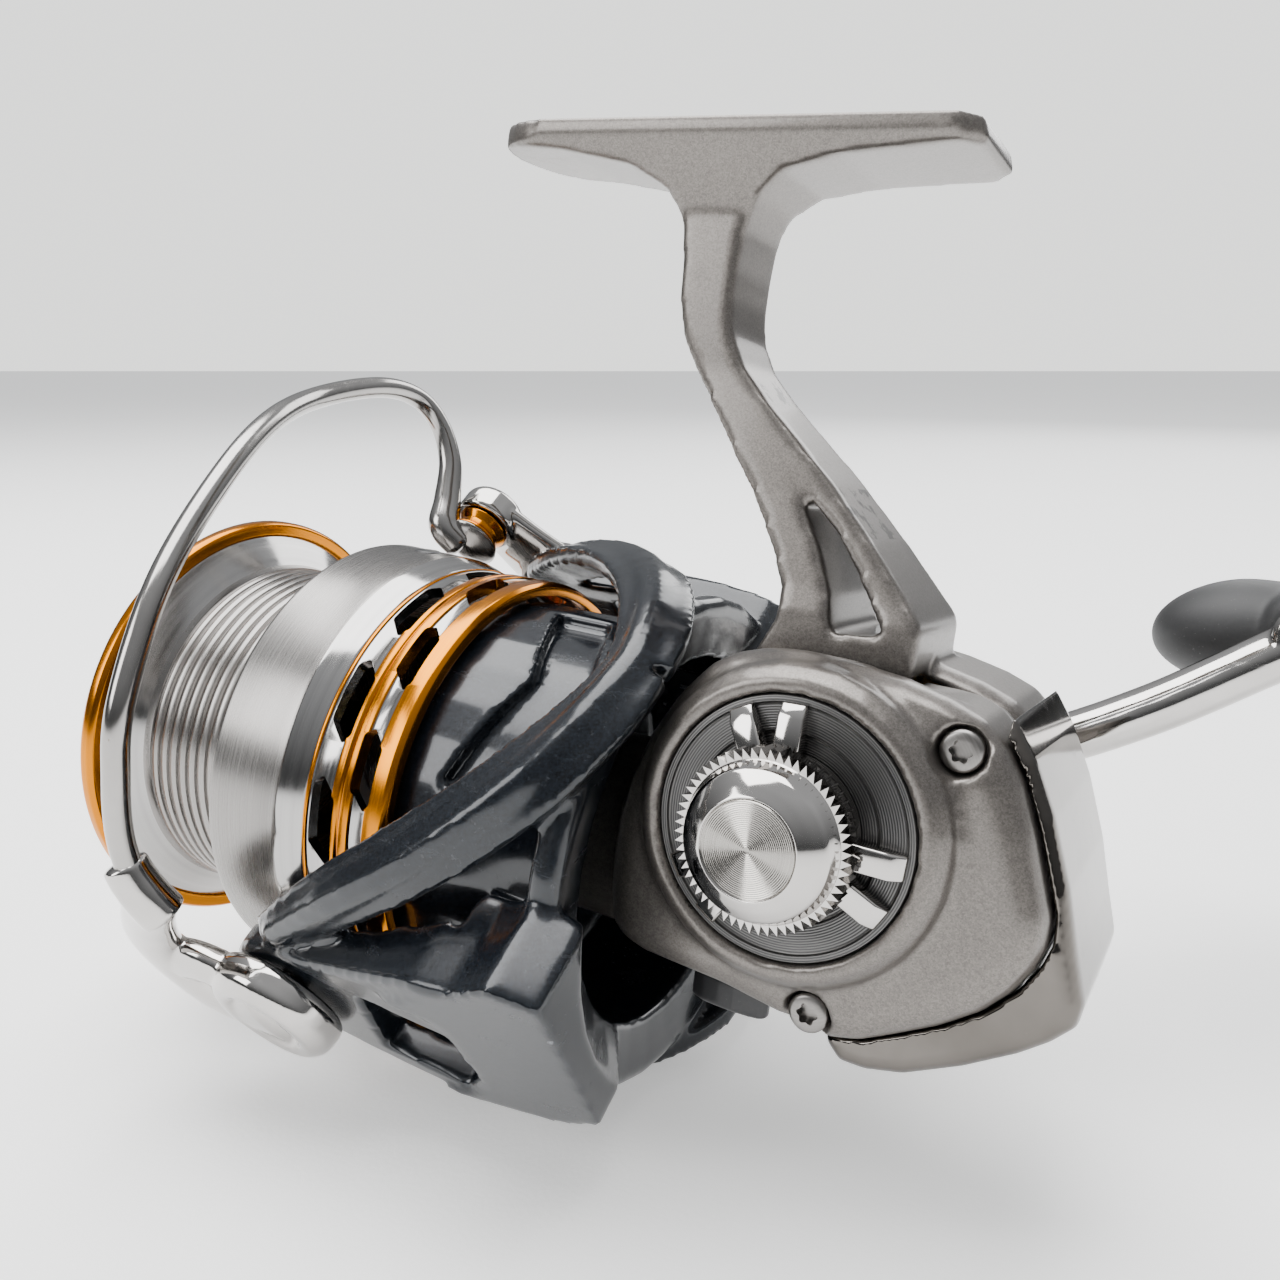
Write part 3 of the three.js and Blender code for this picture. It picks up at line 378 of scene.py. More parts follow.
def cut(thing: bpy.types.Object, cutter: bpy.types.Object) -> bpy.types.Object:
    """Takes a cutter's space out of an object, and removes the cutter."""
    step = thing.modifiers.new("cut", "BOOLEAN")
    step.operation = "DIFFERENCE"
    step.solver = "EXACT"
    step.object = cutter
    settled(thing)
    bpy.data.objects.remove(cutter)
    return thing


def cast(thing: bpy.types.Object, grain: float, relax: int) -> bpy.types.Object:
    """Melts an object's overlapping solids into one skin with soft edges.

    Args:
        thing: the object.
        grain: the size of the new skin's faces, in millimetres.
        relax: how many times the skin is smoothed.

    Returns:
        The object, with its new mesh.
    """
    melt = thing.modifiers.new("melt", "REMESH")
    melt.mode = "VOXEL"
    melt.voxel_size = grain * MM
    melt.use_smooth_shade = True
    soft = thing.modifiers.new("soft", "SMOOTH")
    soft.factor = 0.5
    soft.iterations = relax
    return settled(thing)


def shaded(thing: bpy.types.Object, sharp_degrees: float = 40) -> bpy.types.Object:
    """Shades an object smoothly, with its sharper edges kept."""
    thing.data.shade_smooth()
    thing.data.set_sharp_from_angle(angle=math.radians(sharp_degrees))
    return thing


def bevelled(thing: bpy.types.Object, width: float, steps: int = 3, above: float = 35) -> bpy.types.Object:
    """Rounds an object's sharp edges by a width in millimetres."""
    step = thing.modifiers.new("bevel", "BEVEL")
    step.width = width * MM
    step.segments = steps
    step.limit_method = "ANGLE"
    step.angle_limit = math.radians(above)
    step.use_clamp_overlap = True
    return settled(thing)


def finished(
    thing: bpy.types.Object,
    name: str,
    body: Body,
    materials: Sequence[bpy.types.Material],
    nodes: Sequence[str] = (),
) -> bpy.types.Object:
    """Names and dresses a piece, and gives it to its body.

    Args:
        thing: the piece.
        name: its name.
        body: the body it moves with.
        materials: its materials, or none if the mesh has its own.
        nodes: the frame nodes that it stands for.

    Returns:
        The piece.
    """
    thing.name = name
    thing.data.name = name
    if materials:
        thing.data.materials.clear()
        for material in materials:
            thing.data.materials.append(material)
    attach(thing, body.value)
    if nodes:
        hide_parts(*nodes)
    LOG.info("%s: %d faces on %s", name, len(thing.data.polygons), body.value)
    return thing


# ============================ geometry node trees ============================

class PatternTree:
    """A geometry node tree that is built in the script and used once or more."""

    def __init__(self, name: str) -> None:
        """Starts a tree with a geometry input and output."""
        self.tree = bpy.data.node_groups.new(name, "GeometryNodeTree")
        self.tree.interface.new_socket("Geometry", in_out="INPUT", socket_type="NodeSocketGeometry")
        self.tree.interface.new_socket("Geometry", in_out="OUTPUT", socket_type="NodeSocketGeometry")
        self.names: dict[str, str] = {}
        self.entry = self.tree.nodes.new("NodeGroupInput")
        self.exit = self.tree.nodes.new("NodeGroupOutput")

    def size(self, name: str, kind: str, default: object = None) -> bpy.types.NodeSocket:
        """Adds a named input.

        Args:
            name: the input's name.
            kind: its socket type.
            default: its value where the modifier sets none.

        Returns:
            The socket that carries it inside the tree.
        """
        item = self.tree.interface.new_socket(name, in_out="INPUT", socket_type=kind)
        if default is not None:
            item.default_value = default
        self.names[name] = item.identifier
        return self.entry.outputs[name]

    def node(self, kind: str, settings: Mapping[str, object] | None = None,
             inputs: Mapping[str | int, object] | None = None) -> bpy.types.Node:
        """Adds a node with its settings, and the values or links of its sockets."""
        made = self.tree.nodes.new(kind)
        for key, value in (settings or {}).items():
            setattr(made, key, value)
        for key, value in (inputs or {}).items():
            if isinstance(value, bpy.types.NodeSocket):
                self.tree.links.new(value, made.inputs[key])
            else:
                made.inputs[key].default_value = value
        return made

    def close(self, geometry: bpy.types.NodeSocket, material: bpy.types.NodeSocket) -> None:
        """Ends the tree: instances become mesh, and the mesh gets its material."""
        real = self.node("GeometryNodeRealizeInstances", inputs={"Geometry": geometry})
        dressed = self.node("GeometryNodeSetMaterial", inputs={
            "Geometry": real.outputs[0], "Material": material})
        self.tree.links.new(dressed.outputs[0], self.exit.inputs[0])

    def run(self, thing: bpy.types.Object, **values: object) -> bpy.types.Object:
        """Runs the tree on an object and keeps the result as its mesh.

        Args:
            thing: the object.
            values: a value for each named input.

        Returns:
            The object.
        """
        step = thing.modifiers.new(self.tree.name, "NODES")
        step.node_group = self.tree
        for name, value in values.items():
            step[self.names[name]] = value
        return settled(thing)


def round_axis_tree() -> PatternTree:
    """A tree that puts copies of an object evenly round the local X axis."""
    tree = PatternTree("round_axis")
    count = tree.size("Count", "NodeSocketInt", 12)
    start = tree.size("Start", "NodeSocketFloat", 0.0)
    piece = tree.size("Piece", "NodeSocketObject")
    material = tree.size("Finish", "NodeSocketMaterial")
    points = tree.node("GeometryNodePoints", inputs={"Count": count})
    index = tree.node("GeometryNodeInputIndex")
    share = tree.node("ShaderNodeMath", {"operation": "DIVIDE"}, {0: index.outputs[0], 1: count})
    angle = tree.node("ShaderNodeMath", {"operation": "MULTIPLY_ADD"}, {
        0: share.outputs[0], 1: math.tau, 2: start})
    spin = tree.node("ShaderNodeCombineXYZ", inputs={"X": angle.outputs[0]})
    source = tree.node("GeometryNodeObjectInfo", {"transform_space": "ORIGINAL"}, {"Object": piece})
    copies = tree.node("GeometryNodeInstanceOnPoints", inputs={
        "Points": points.outputs[0], "Instance": source.outputs["Geometry"], "Rotation": spin.outputs[0]})
    tree.close(copies.outputs[0], material)
    return tree


def on_points_tree() -> PatternTree:
    """A tree that puts a copy of an object at each point of the host."""
    tree = PatternTree("on_points")
    piece = tree.size("Piece", "NodeSocketObject")
    material = tree.size("Finish", "NodeSocketMaterial")
    source = tree.node("GeometryNodeObjectInfo", {"transform_space": "ORIGINAL"}, {"Object": piece})
    copies = tree.node("GeometryNodeInstanceOnPoints", inputs={
        "Points": tree.entry.outputs[0], "Instance": source.outputs["Geometry"]})
    tree.close(copies.outputs[0], material)
    return tree


class Patterns:
    """The trees that the sub-assemblies share."""

    def __init__(self) -> None:
        """Builds the trees."""
        self.round_axis = round_axis_tree()
        self.on_points = on_points_tree()

    def ring_of(self, piece: Shape, count: int, start: float, place: Matrix,
                material: bpy.types.Material) -> bpy.types.Object:
        """Copies of a shape round the local X axis, placed in the frame.

        Args:
            piece: the shape that is repeated.
            count: how many copies there are.
            start: the first copy's angle in radians.
            place: where the ring stands.
            material: the copies' material.

        Returns:
            The copies as one object.
        """
        source = raw_object("pattern_source", piece)
        host = raw_object("pattern_host", Shape([Vector((0, 0, 0))]))
        self.round_axis.run(host, Count=count, Start=start, Piece=source, Finish=material)
        bpy.data.objects.remove(source)
        host.data.transform(TO_FRAME @ place)
        return host

    def set_of(self, piece: Shape, places: Sequence[Triple], place: Matrix,
               material: bpy.types.Material) -> bpy.types.Object:
        """Copies of a shape at a few places.

        Args:
            piece: the shape that is repeated.
            places: where the copies stand.
            place: where the whole set stands.
            material: the copies' material.

        Returns:
            The copies as one object.
        """
        source = raw_object("pattern_source", piece)
        host = raw_object("pattern_host", Shape([Vector(p) for p in places]))
        self.on_points.run(host, Piece=source, Finish=material)
        bpy.data.objects.remove(source)
        host.data.transform(TO_FRAME @ place)
        return host


def raw_object(name: str, shape: Shape) -> bpy.types.Object:
    """An object of a shape in its own millimetres, for a tree to use."""
    mesh = bpy.data.meshes.new(name)
    mesh.from_pydata([tuple(p) for p in shape.points], [], shape.faces)
    if shape.faces:
        build = bmesh.new()
        build.from_mesh(mesh)
        bmesh.ops.recalc_face_normals(build, faces=build.faces)
        build.to_mesh(mesh)
        build.free()
    thing = bpy.data.objects.new(name, mesh)
    bpy.context.scene.collection.objects.link(thing)
    return thing


# ============================ shader workbench ============================

class Value:
    """A number that varies over a surface, with arithmetic."""

    def __init__(self, bench: "Bench", socket: bpy.types.NodeSocket) -> None:
        """Wraps a socket of a bench's tree."""
        self.bench = bench
        self.socket = socket

    def _with(self, operation: str, *others: "Value | float", clamp: bool = False) -> "Value":
        """The result of a Math node on this value and others."""
        return self.bench.maths(operation, self, *others, clamp=clamp)

    def __add__(self, other: "Value | float") -> "Value":
        """Sum."""
        return self._with("ADD", other)

    __radd__ = __add__

    def __mul__(self, other: "Value | float") -> "Value":
        """Product."""
        return self._with("MULTIPLY", other)

    __rmul__ = __mul__

    def __sub__(self, other: "Value | float") -> "Value":
        """Difference."""
        return self._with("SUBTRACT", other)

    def __rsub__(self, other: float) -> "Value":
        """Difference from a number."""
        return self.bench.maths("SUBTRACT", other, self)

    def __pow__(self, other: float) -> "Value":
        """Power."""
        return self._with("POWER", other)

    def clipped(self) -> "Value":
        """The value held between 0 and 1."""
        return self._with("ADD", 0.0, clamp=True)


class Bench:
    """Builds one material's node tree."""

    def __init__(self, name: str) -> None:
        """Starts a material with one main shader."""
        self.material = bpy.data.materials.new(name)
        self.material.use_nodes = True
        self.tree = self.material.node_tree
        self.tree.nodes.clear()
        self.main = self.tree.nodes.new("ShaderNodeBsdfPrincipled")
        end = self.tree.nodes.new("ShaderNodeOutputMaterial")
        self.tree.links.new(self.main.outputs[0], end.inputs["Surface"])
        self.place = self.node("ShaderNodeTexCoord").outputs["Object"]

    def node(self, kind: str, settings: Mapping[str, object] | None = None,
             inputs: Mapping[str | int, object] | None = None) -> bpy.types.Node:
        """Adds a node.

        Args:
            kind: the node's type.
            settings: its settings, with a ramp's stops under "stops".
            inputs: the values or links of its sockets.

        Returns:
            The node.
        """
        made = self.tree.nodes.new(kind)
        for key, value in (settings or {}).items():
            if key == "stops":
                self._set_stops(made, value)
            else:
                setattr(made, key, value)
        for key, value in (inputs or {}).items():
            if isinstance(value, Value):
                value = value.socket
            if isinstance(value, bpy.types.NodeSocket):
                self.tree.links.new(value, made.inputs[key])
            else:
                made.inputs[key].default_value = value
        return made

    @staticmethod
    def _set_stops(ramp: bpy.types.Node, stops: Sequence[tuple[float, Triple]]) -> None:
        """Sets a ramp's stops."""
        parts = ramp.color_ramp.elements
        while len(parts) < len(stops):
            parts.new(1.0)
        for part, (position, colour) in zip(parts, stops):
            part.position = position
            part.color = (*colour, 1.0)

    def maths(self, operation: str, *terms: "Value | float", clamp: bool = False) -> Value:
        """A Math node on values and numbers."""
        settings = {"operation": operation, "use_clamp": clamp}
        made = self.node("ShaderNodeMath", settings, dict(enumerate(terms)))
        return Value(self, made.outputs[0])

    def noise(self, scale: float, detail: float = 3, stretch: Triple = (1, 1, 1),
              rough: float = 0.5) -> Value:
        """Soft noise at a scale per metre, stretched along the axes."""
        place = self.node("ShaderNodeMapping", inputs={"Vector": self.place, "Scale": stretch})
        made = self.node("ShaderNodeTexNoise", inputs={
            "Vector": place.outputs[0], "Scale": scale, "Detail": detail, "Roughness": rough})
        return Value(self, made.outputs[0])

    def rings(self, scale: float, centre: Triple, axis: str, detail: float = 2) -> Value:
        """Noise that changes only with the distance from an axis and along it: the marks of a lathe.

        Args:
            scale: how many marks there are per metre, roughly.
            centre: a point on the axis, in metres in the frame.
            axis: the axis, X or Y.
            detail: the noise's detail.

        Returns:
            The noise.
        """
        moved = self.node("ShaderNodeVectorMath", {"operation": "SUBTRACT"}, {0: self.place, 1: centre})
        parts = self.node("ShaderNodeSeparateXYZ", inputs={0: moved.outputs[0]})
        along = Value(self, parts.outputs[axis])
        first = Value(self, parts.outputs["Y" if axis == "X" else "X"])
        third = Value(self, parts.outputs["Z"])
        reach = (first * first + third * third) ** 0.5
        made = self.node("ShaderNodeTexNoise", {"noise_dimensions": "1D"}, {
            "W": reach + along * 0.83, "Scale": scale, "Detail": detail})
        return Value(self, made.outputs[0])

    def flakes(self, scale: float) -> Value:
        """A random brightness for each small cell."""
        made = self.node("ShaderNodeTexVoronoi", {"feature": "F1"}, {"Vector": self.place, "Scale": scale})
        parts = self.node("ShaderNodeSeparateColor", inputs={0: made.outputs["Color"]})
        return Value(self, parts.outputs[0])

    def band(self, value: Value, low: float, high: float) -> Value:
        """A value spread from 0 at low to 1 at high, and held there."""
        made = self.node("ShaderNodeMapRange", {"interpolation_type": "SMOOTHSTEP"}, {
            "Value": value, "From Min": low, "From Max": high})
        return Value(self, made.outputs[0])

    def edges(self, low: float, high: float) -> Value:
        """How far a place is on an outer edge."""
        made = self.node("ShaderNodeNewGeometry")
        return self.band(Value(self, made.outputs["Pointiness"]), low, high)

    def blend(self, share: Value, first: Triple | bpy.types.NodeSocket,
              second: Triple | bpy.types.NodeSocket) -> bpy.types.NodeSocket:
        """A mix of two colours."""
        made = self.node("ShaderNodeMix", {"data_type": "RGBA"}, {0: share})
        for index, colour in ((6, first), (7, second)):
            if isinstance(colour, bpy.types.NodeSocket):
                self.tree.links.new(colour, made.inputs[index])
            else:
                made.inputs[index].default_value = (*colour, 1.0)
        return made.outputs[2]

    def bump(self, height: Value, strength: float, distance_mm: float) -> None:
        """Gives the surface its relief."""
        made = self.node("ShaderNodeBump", inputs={
            "Strength": strength, "Distance": distance_mm * MM, "Height": height})
        self.tree.links.new(made.outputs[0], self.main.inputs["Normal"])

    def feed(self, **inputs: object) -> bpy.types.Material:
        """Sets or links the main shader's sockets and returns the material; underscores stand for spaces."""
        for key, value in inputs.items():
            socket = self.main.inputs[key.replace("_", " ")]
            if isinstance(value, Value):
                value = value.socket
            if isinstance(value, bpy.types.NodeSocket):
                self.tree.links.new(value, socket)
            elif isinstance(value, tuple):
                socket.default_value = (*value, 1.0)
            else:
                socket.default_value = value
        return self.material


# ============================ finishes ============================

SHAFT_CENTRE = (0.0, 0.0, -SHAFT_DROP * MM)
DRIVE_CENTRE = (DRIVE_AT[0] * MM, 0.0, (DRIVE_AT[2] - SHAFT_DROP) * MM)


@dataclass(frozen=True)
class MetalPaint:
    """Metallic lacquer with fine flakes, and bare metal where edges are worn."""

    name: str
    dark: Triple
    light: Triple
    worn: Triple
    metallic: float
    roughness: float
    coat: float
    flake_scale: float = 6500
    flake_share: float = 0.35
    wear: Pair = (0.56, 0.62)
    dust: float = 0.0

    def build(self) -> bpy.types.Material:
        """Builds the material."""
        bench = Bench(self.name)
        flake = bench.flakes(self.flake_scale)
        cloud = bench.noise(60, 2)
        grain = bench.noise(2600, 2)
        share = ((flake - 0.5) * self.flake_share + grain * 0.5 + cloud * 0.3 + 0.1).clipped()
        paint = bench.blend(share, self.dark, self.light)
        chips = bench.edges(*self.wear) * bench.band(bench.noise(420, 5, rough=0.7), 0.52, 0.6)
        colour = bench.blend(chips, paint, self.worn)
        scuffs = bench.band(bench.noise(90, 6, (1, 1, 6), 0.75), 0.55, 0.75)
        if self.dust:
            specks = bench.band(bench.noise(1500, 4, rough=0.8), 0.6, 0.7) * bench.noise(70, 3)
            dusty = (specks * self.dust + scuffs * (self.dust * 0.25)).clipped()
            colour = bench.blend(dusty, colour, (0.3, 0.31, 0.33))
        bench.bump(flake * 0.4 + grain * 0.6, 0.12, 0.02)
        return bench.feed(
            Base_Color=colour,
            Metallic=self.metallic,
            Roughness=(grain * 0.14 + scuffs * 0.12 + chips * 0.1 + (self.roughness - 0.08)).clipped(),
            Coat_Weight=self.coat,
            Coat_Roughness=0.08,
        )


@dataclass(frozen=True)
class TurnedMetal:
    """Metal off the lathe, its fine marks running round an axis."""

    name: str
    dark: Triple
    light: Triple
    roughness: float
    marks: float
    relief: float
    centre: Triple = SHAFT_CENTRE
    axis: str = "X"

    def build(self) -> bpy.types.Material:
        """Builds the material."""
        bench = Bench(self.name)
        fine = bench.rings(self.marks, self.centre, self.axis, 3)
        broad = bench.rings(self.marks / 9, self.centre, self.axis, 1)
        smear = bench.noise(110, 4, rough=0.6)
        nicks = bench.band(bench.noise(800, 5, rough=0.8), 0.68, 0.74)
        share = (fine * 0.5 + broad * 0.35 + smear * 0.25 - 0.05).clipped()
        colour = bench.blend(share, self.dark, self.light)
        bench.bump(fine + broad * 0.4 - nicks * 0.5, self.relief, 0.01)
        return bench.feed(
            Base_Color=colour,
            Metallic=1.0,
            Roughness=(fine * 0.12 + smear * 0.1 + nicks * 0.1 + (self.roughness - 0.11)).clipped(),
        )


@dataclass(frozen=True)
class BrightPlate:
    """Polished plate with faint smears and hairline scratches."""

    name: str
    dark: Triple
    light: Triple
    roughness: float
    smear: float = 0.1
    wear: Triple = (0.35, 0.3, 0.25)

    def build(self) -> bpy.types.Material:
        """Builds the material."""
        bench = Bench(self.name)
        cloud = bench.noise(75, 4, rough=0.6)
        hair = bench.band(bench.noise(700, 2, (0.06, 1, 1), 0.6), 0.62, 0.66)
        pits = bench.band(bench.noise(1300, 4, rough=0.8), 0.71, 0.76)
        colour = bench.blend((pits * 0.8).clipped(), bench.blend(cloud, self.dark, self.light), self.wear)
        bench.bump(cloud * 0.6 - hair * 0.2 - pits * 0.6, 0.08, 0.02)
        return bench.feed(
            Base_Color=colour,
            Metallic=1.0,
            Roughness=(cloud * self.smear + hair * 0.06 + pits * 0.25 + self.roughness).clipped(),
        )


@dataclass(frozen=True)
class Moulded:
    """Moulded plastic or rubber with a fine stipple and a little dust."""

    name: str
    dark: Triple
    light: Triple
    roughness: float
    stipple: float
    dust: float = 0.15

    def build(self) -> bpy.types.Material:
        """Builds the material."""
        bench = Bench(self.name)
        grain = bench.noise(self.stipple, 3, rough=0.6)
        cloud = bench.noise(80, 4)
        specks = bench.band(bench.noise(2200, 3, rough=0.8), 0.64, 0.72) * self.dust
        base = bench.blend((grain * 0.6 + cloud * 0.4).clipped(), self.dark, self.light)
        bench.bump(grain, 0.25, 0.03)
        return bench.feed(
            Base_Color=bench.blend(specks, base, (0.35, 0.34, 0.33)),
            Roughness=(cloud * 0.16 + specks * 0.3 + (self.roughness - 0.08)).clipped(),
        )


@dataclass(frozen=True)
class RingedDisc:
    """Dark plate cut with fine even rings about the drive axis."""

    name: str
    dark: Triple
    light: Triple
    rings_per_metre: float

    def build(self) -> bpy.types.Material:
        """Builds the material."""
        bench = Bench(self.name)
        moved = bench.node("ShaderNodeVectorMath", {"operation": "SUBTRACT"}, {
            0: bench.place, 1: DRIVE_CENTRE})
        parts = bench.node("ShaderNodeSeparateXYZ", inputs={0: moved.outputs[0]})
        across = Value(bench, parts.outputs["X"])
        tall = Value(bench, parts.outputs["Z"])
        reach = (across * across + tall * tall) ** 0.5
        wave = bench.maths("SINE", reach * (self.rings_per_metre * math.tau)) * 0.5 + 0.5
        cloud = bench.noise(120, 4)
        colour = bench.blend((wave * 0.7 + cloud * 0.3).clipped(), self.dark, self.light)
        bench.bump(wave, 0.5, 0.05)
        return bench.feed(Base_Color=colour, Metallic=0.85, Roughness=(cloud * 0.15 + 0.27).clipped())


@dataclass(frozen=True)
class Cloth:
    """Plain pale cloth for the floor."""

    name: str
    dark: Triple
    light: Triple
    glow: float

    def build(self) -> bpy.types.Material:
        """Builds the material."""
        bench = Bench(self.name)
        weave = bench.noise(1600, 2)
        cloud = bench.noise(7, 3)
        bench.bump(weave * 0.4 + cloud, 0.12, 0.6)
        colour = bench.blend((weave * 0.3 + cloud * 0.7).clipped(), self.dark, self.light)
        return bench.feed(
            Base_Color=colour,
            Roughness=0.92,
            Emission_Color=self.light,
            Emission_Strength=self.glow,
        )


class Finishes:
    """Every material of the reel, built once."""

    def __init__(self) -> None:
        """Builds the materials."""
        self.body = MetalPaint(
            "silver_grey_lacquer", (0.085, 0.077, 0.07), (0.21, 0.192, 0.176), (0.05, 0.045, 0.042),
            metallic=0.8, roughness=0.36, coat=0.25, flake_scale=8500, flake_share=0.45).build()
        self.rotor = MetalPaint(
            "night_blue_lacquer", (0.0015, 0.002, 0.003), (0.011, 0.015, 0.021), (0.14, 0.15, 0.165),
            metallic=0.3, roughness=0.24, coat=0.3, flake_scale=6200, flake_share=0.8,
            wear=(0.6, 0.66), dust=0.16).build()
        self.satin = TurnedMetal(
            "turned_alloy", (0.15, 0.143, 0.137), (0.36, 0.346, 0.333), 0.27, 5200, 0.2).build()
        self.polished_alloy = TurnedMetal(
            "polished_alloy", (0.24, 0.235, 0.23), (0.5, 0.49, 0.48), 0.13, 3800, 0.06).build()
        self.gold = TurnedMetal(
            "gold_anodise", (0.36, 0.1, 0.0008), (0.72, 0.26, 0.002), 0.2, 4200, 0.08).build()
        self.spun = TurnedMetal(
            "spun_cap_face", (0.22, 0.21, 0.195), (0.46, 0.44, 0.41), 0.2, 7000, 0.4,
            DRIVE_CENTRE, "Y").build()
        self.disc = RingedDisc("ringed_disc", (0.035, 0.035, 0.036), (0.17, 0.167, 0.163), 4600).build()
        self.chrome = BrightPlate("chrome", (0.34, 0.325, 0.31), (0.62, 0.6, 0.58), 0.05, 0.07).build()
        self.wire = BrightPlate("chrome_wire", (0.22, 0.21, 0.2), (0.46, 0.445, 0.43), 0.12, 0.1).build()
        self.smoked = BrightPlate(
            "smoked_chrome", (0.07, 0.063, 0.056), (0.19, 0.175, 0.16), 0.05, 0.07).build()
        self.steel = TurnedMetal(
            "screw_steel", (0.14, 0.133, 0.126), (0.3, 0.288, 0.276), 0.32, 5000, 0.2,
            DRIVE_CENTRE, "Y").build()
        self.brass = TurnedMetal("gear_brass", (0.5, 0.36, 0.15), (0.8, 0.62, 0.3), 0.3, 4000, 0.2).build()
        self.plastic = Moulded("black_plastic", (0.008, 0.008, 0.009), (0.03, 0.03, 0.032), 0.4, 2500).build()
        self.rubber = Moulded("knob_rubber", (0.006, 0.006, 0.006), (0.022, 0.022, 0.023), 0.55, 3200).build()
        self.felt = Moulded("oiled_felt", (0.05, 0.045, 0.04), (0.14, 0.13, 0.11), 0.9, 1800).build()
        self.floor = Cloth("pale_cloth", (0.84, 0.84, 0.835), (0.9, 0.9, 0.895), 0.55).build()

    def of_slot(self, slot: str) -> bpy.types.Material:
        """The material for a frame node that keeps its own mesh."""
        return {
            Slot.BODY_PAINT.value: self.body,
            Slot.ROTOR_PAINT.value: self.rotor,
            Slot.DISC_PAINT.value: self.disc,
            Slot.SPOOL_ALLOY.value: self.satin,
            Slot.GOLD.value: self.gold,
            Slot.CHROME.value: self.chrome,
            Slot.SMOKED_CHROME.value: self.smoked,
            Slot.STEEL.value: self.steel,
            Slot.BRASS.value: self.brass,
            Slot.BLACK_PLASTIC.value: self.plastic,
            Slot.RUBBER.value: self.rubber,
            Slot.FELT.value: self.felt,
        }[slot]


@dataclass
class Workshop:
    """What every sub-assembly needs."""

    finishes: Finishes
    patterns: Patterns


def star_screw(head_r: float, head_h: float, socket_r: float, shank_r: float, shank_h: float) -> Shape:
    """A domed screw with a six-lobed socket, its head's top at 0 and its shank along local +X."""
    def lobes(angle: float) -> float:
        return 1 + 0.13 * math.cos(6 * angle)

    depth = head_h * 0.6
    outside = eased([
        (socket_r * 1.25, 0), (head_r - 0.25, 0.08), (head_r, 0.3), (head_r, head_h), (shank_r, head_h),
        (shank_r, shank_h), (0, shank_h)], 0.12, 3)
    socket = turned([(0, depth), (socket_r * 0.96, depth), (socket_r, 0.0)], 48, lobes)
    return shape_bridge(socket, turned(outside, 48), 48)


def shape_bridge(inner: Shape, outer: Shape, segments: int) -> Shape:
    """Joins a socket's mouth to the head's first ring.

    Args:
        inner: the socket, whose last ring is its mouth.
        outer: the head's skin, whose first ring faces the mouth.
        segments: the number of points in each ring.

    Returns:
        The closed shape.
    """
    mouth = len(inner.points) - segments
    shift = len(inner.points)
    keep = [f for f in outer.faces if not _closing(f, outer, segments)]
    shape = inner
    shape.faces = [f for f in inner.faces if not _closing(f, inner, segments)]
    shape = shape + Shape(outer.points, keep)
    for k in range(segments):
        j = (k + 1) % segments
        shape.faces.append((mouth + k, mouth + j, shift + j, shift + k))
    return shape


def _closing(face: tuple[int, ...], shape: Shape, segments: int) -> bool:
    """Whether a face closes a profile from its last ring back to its first."""
    return max(face) - min(face) > 2 * segments


# ============================ housing ============================

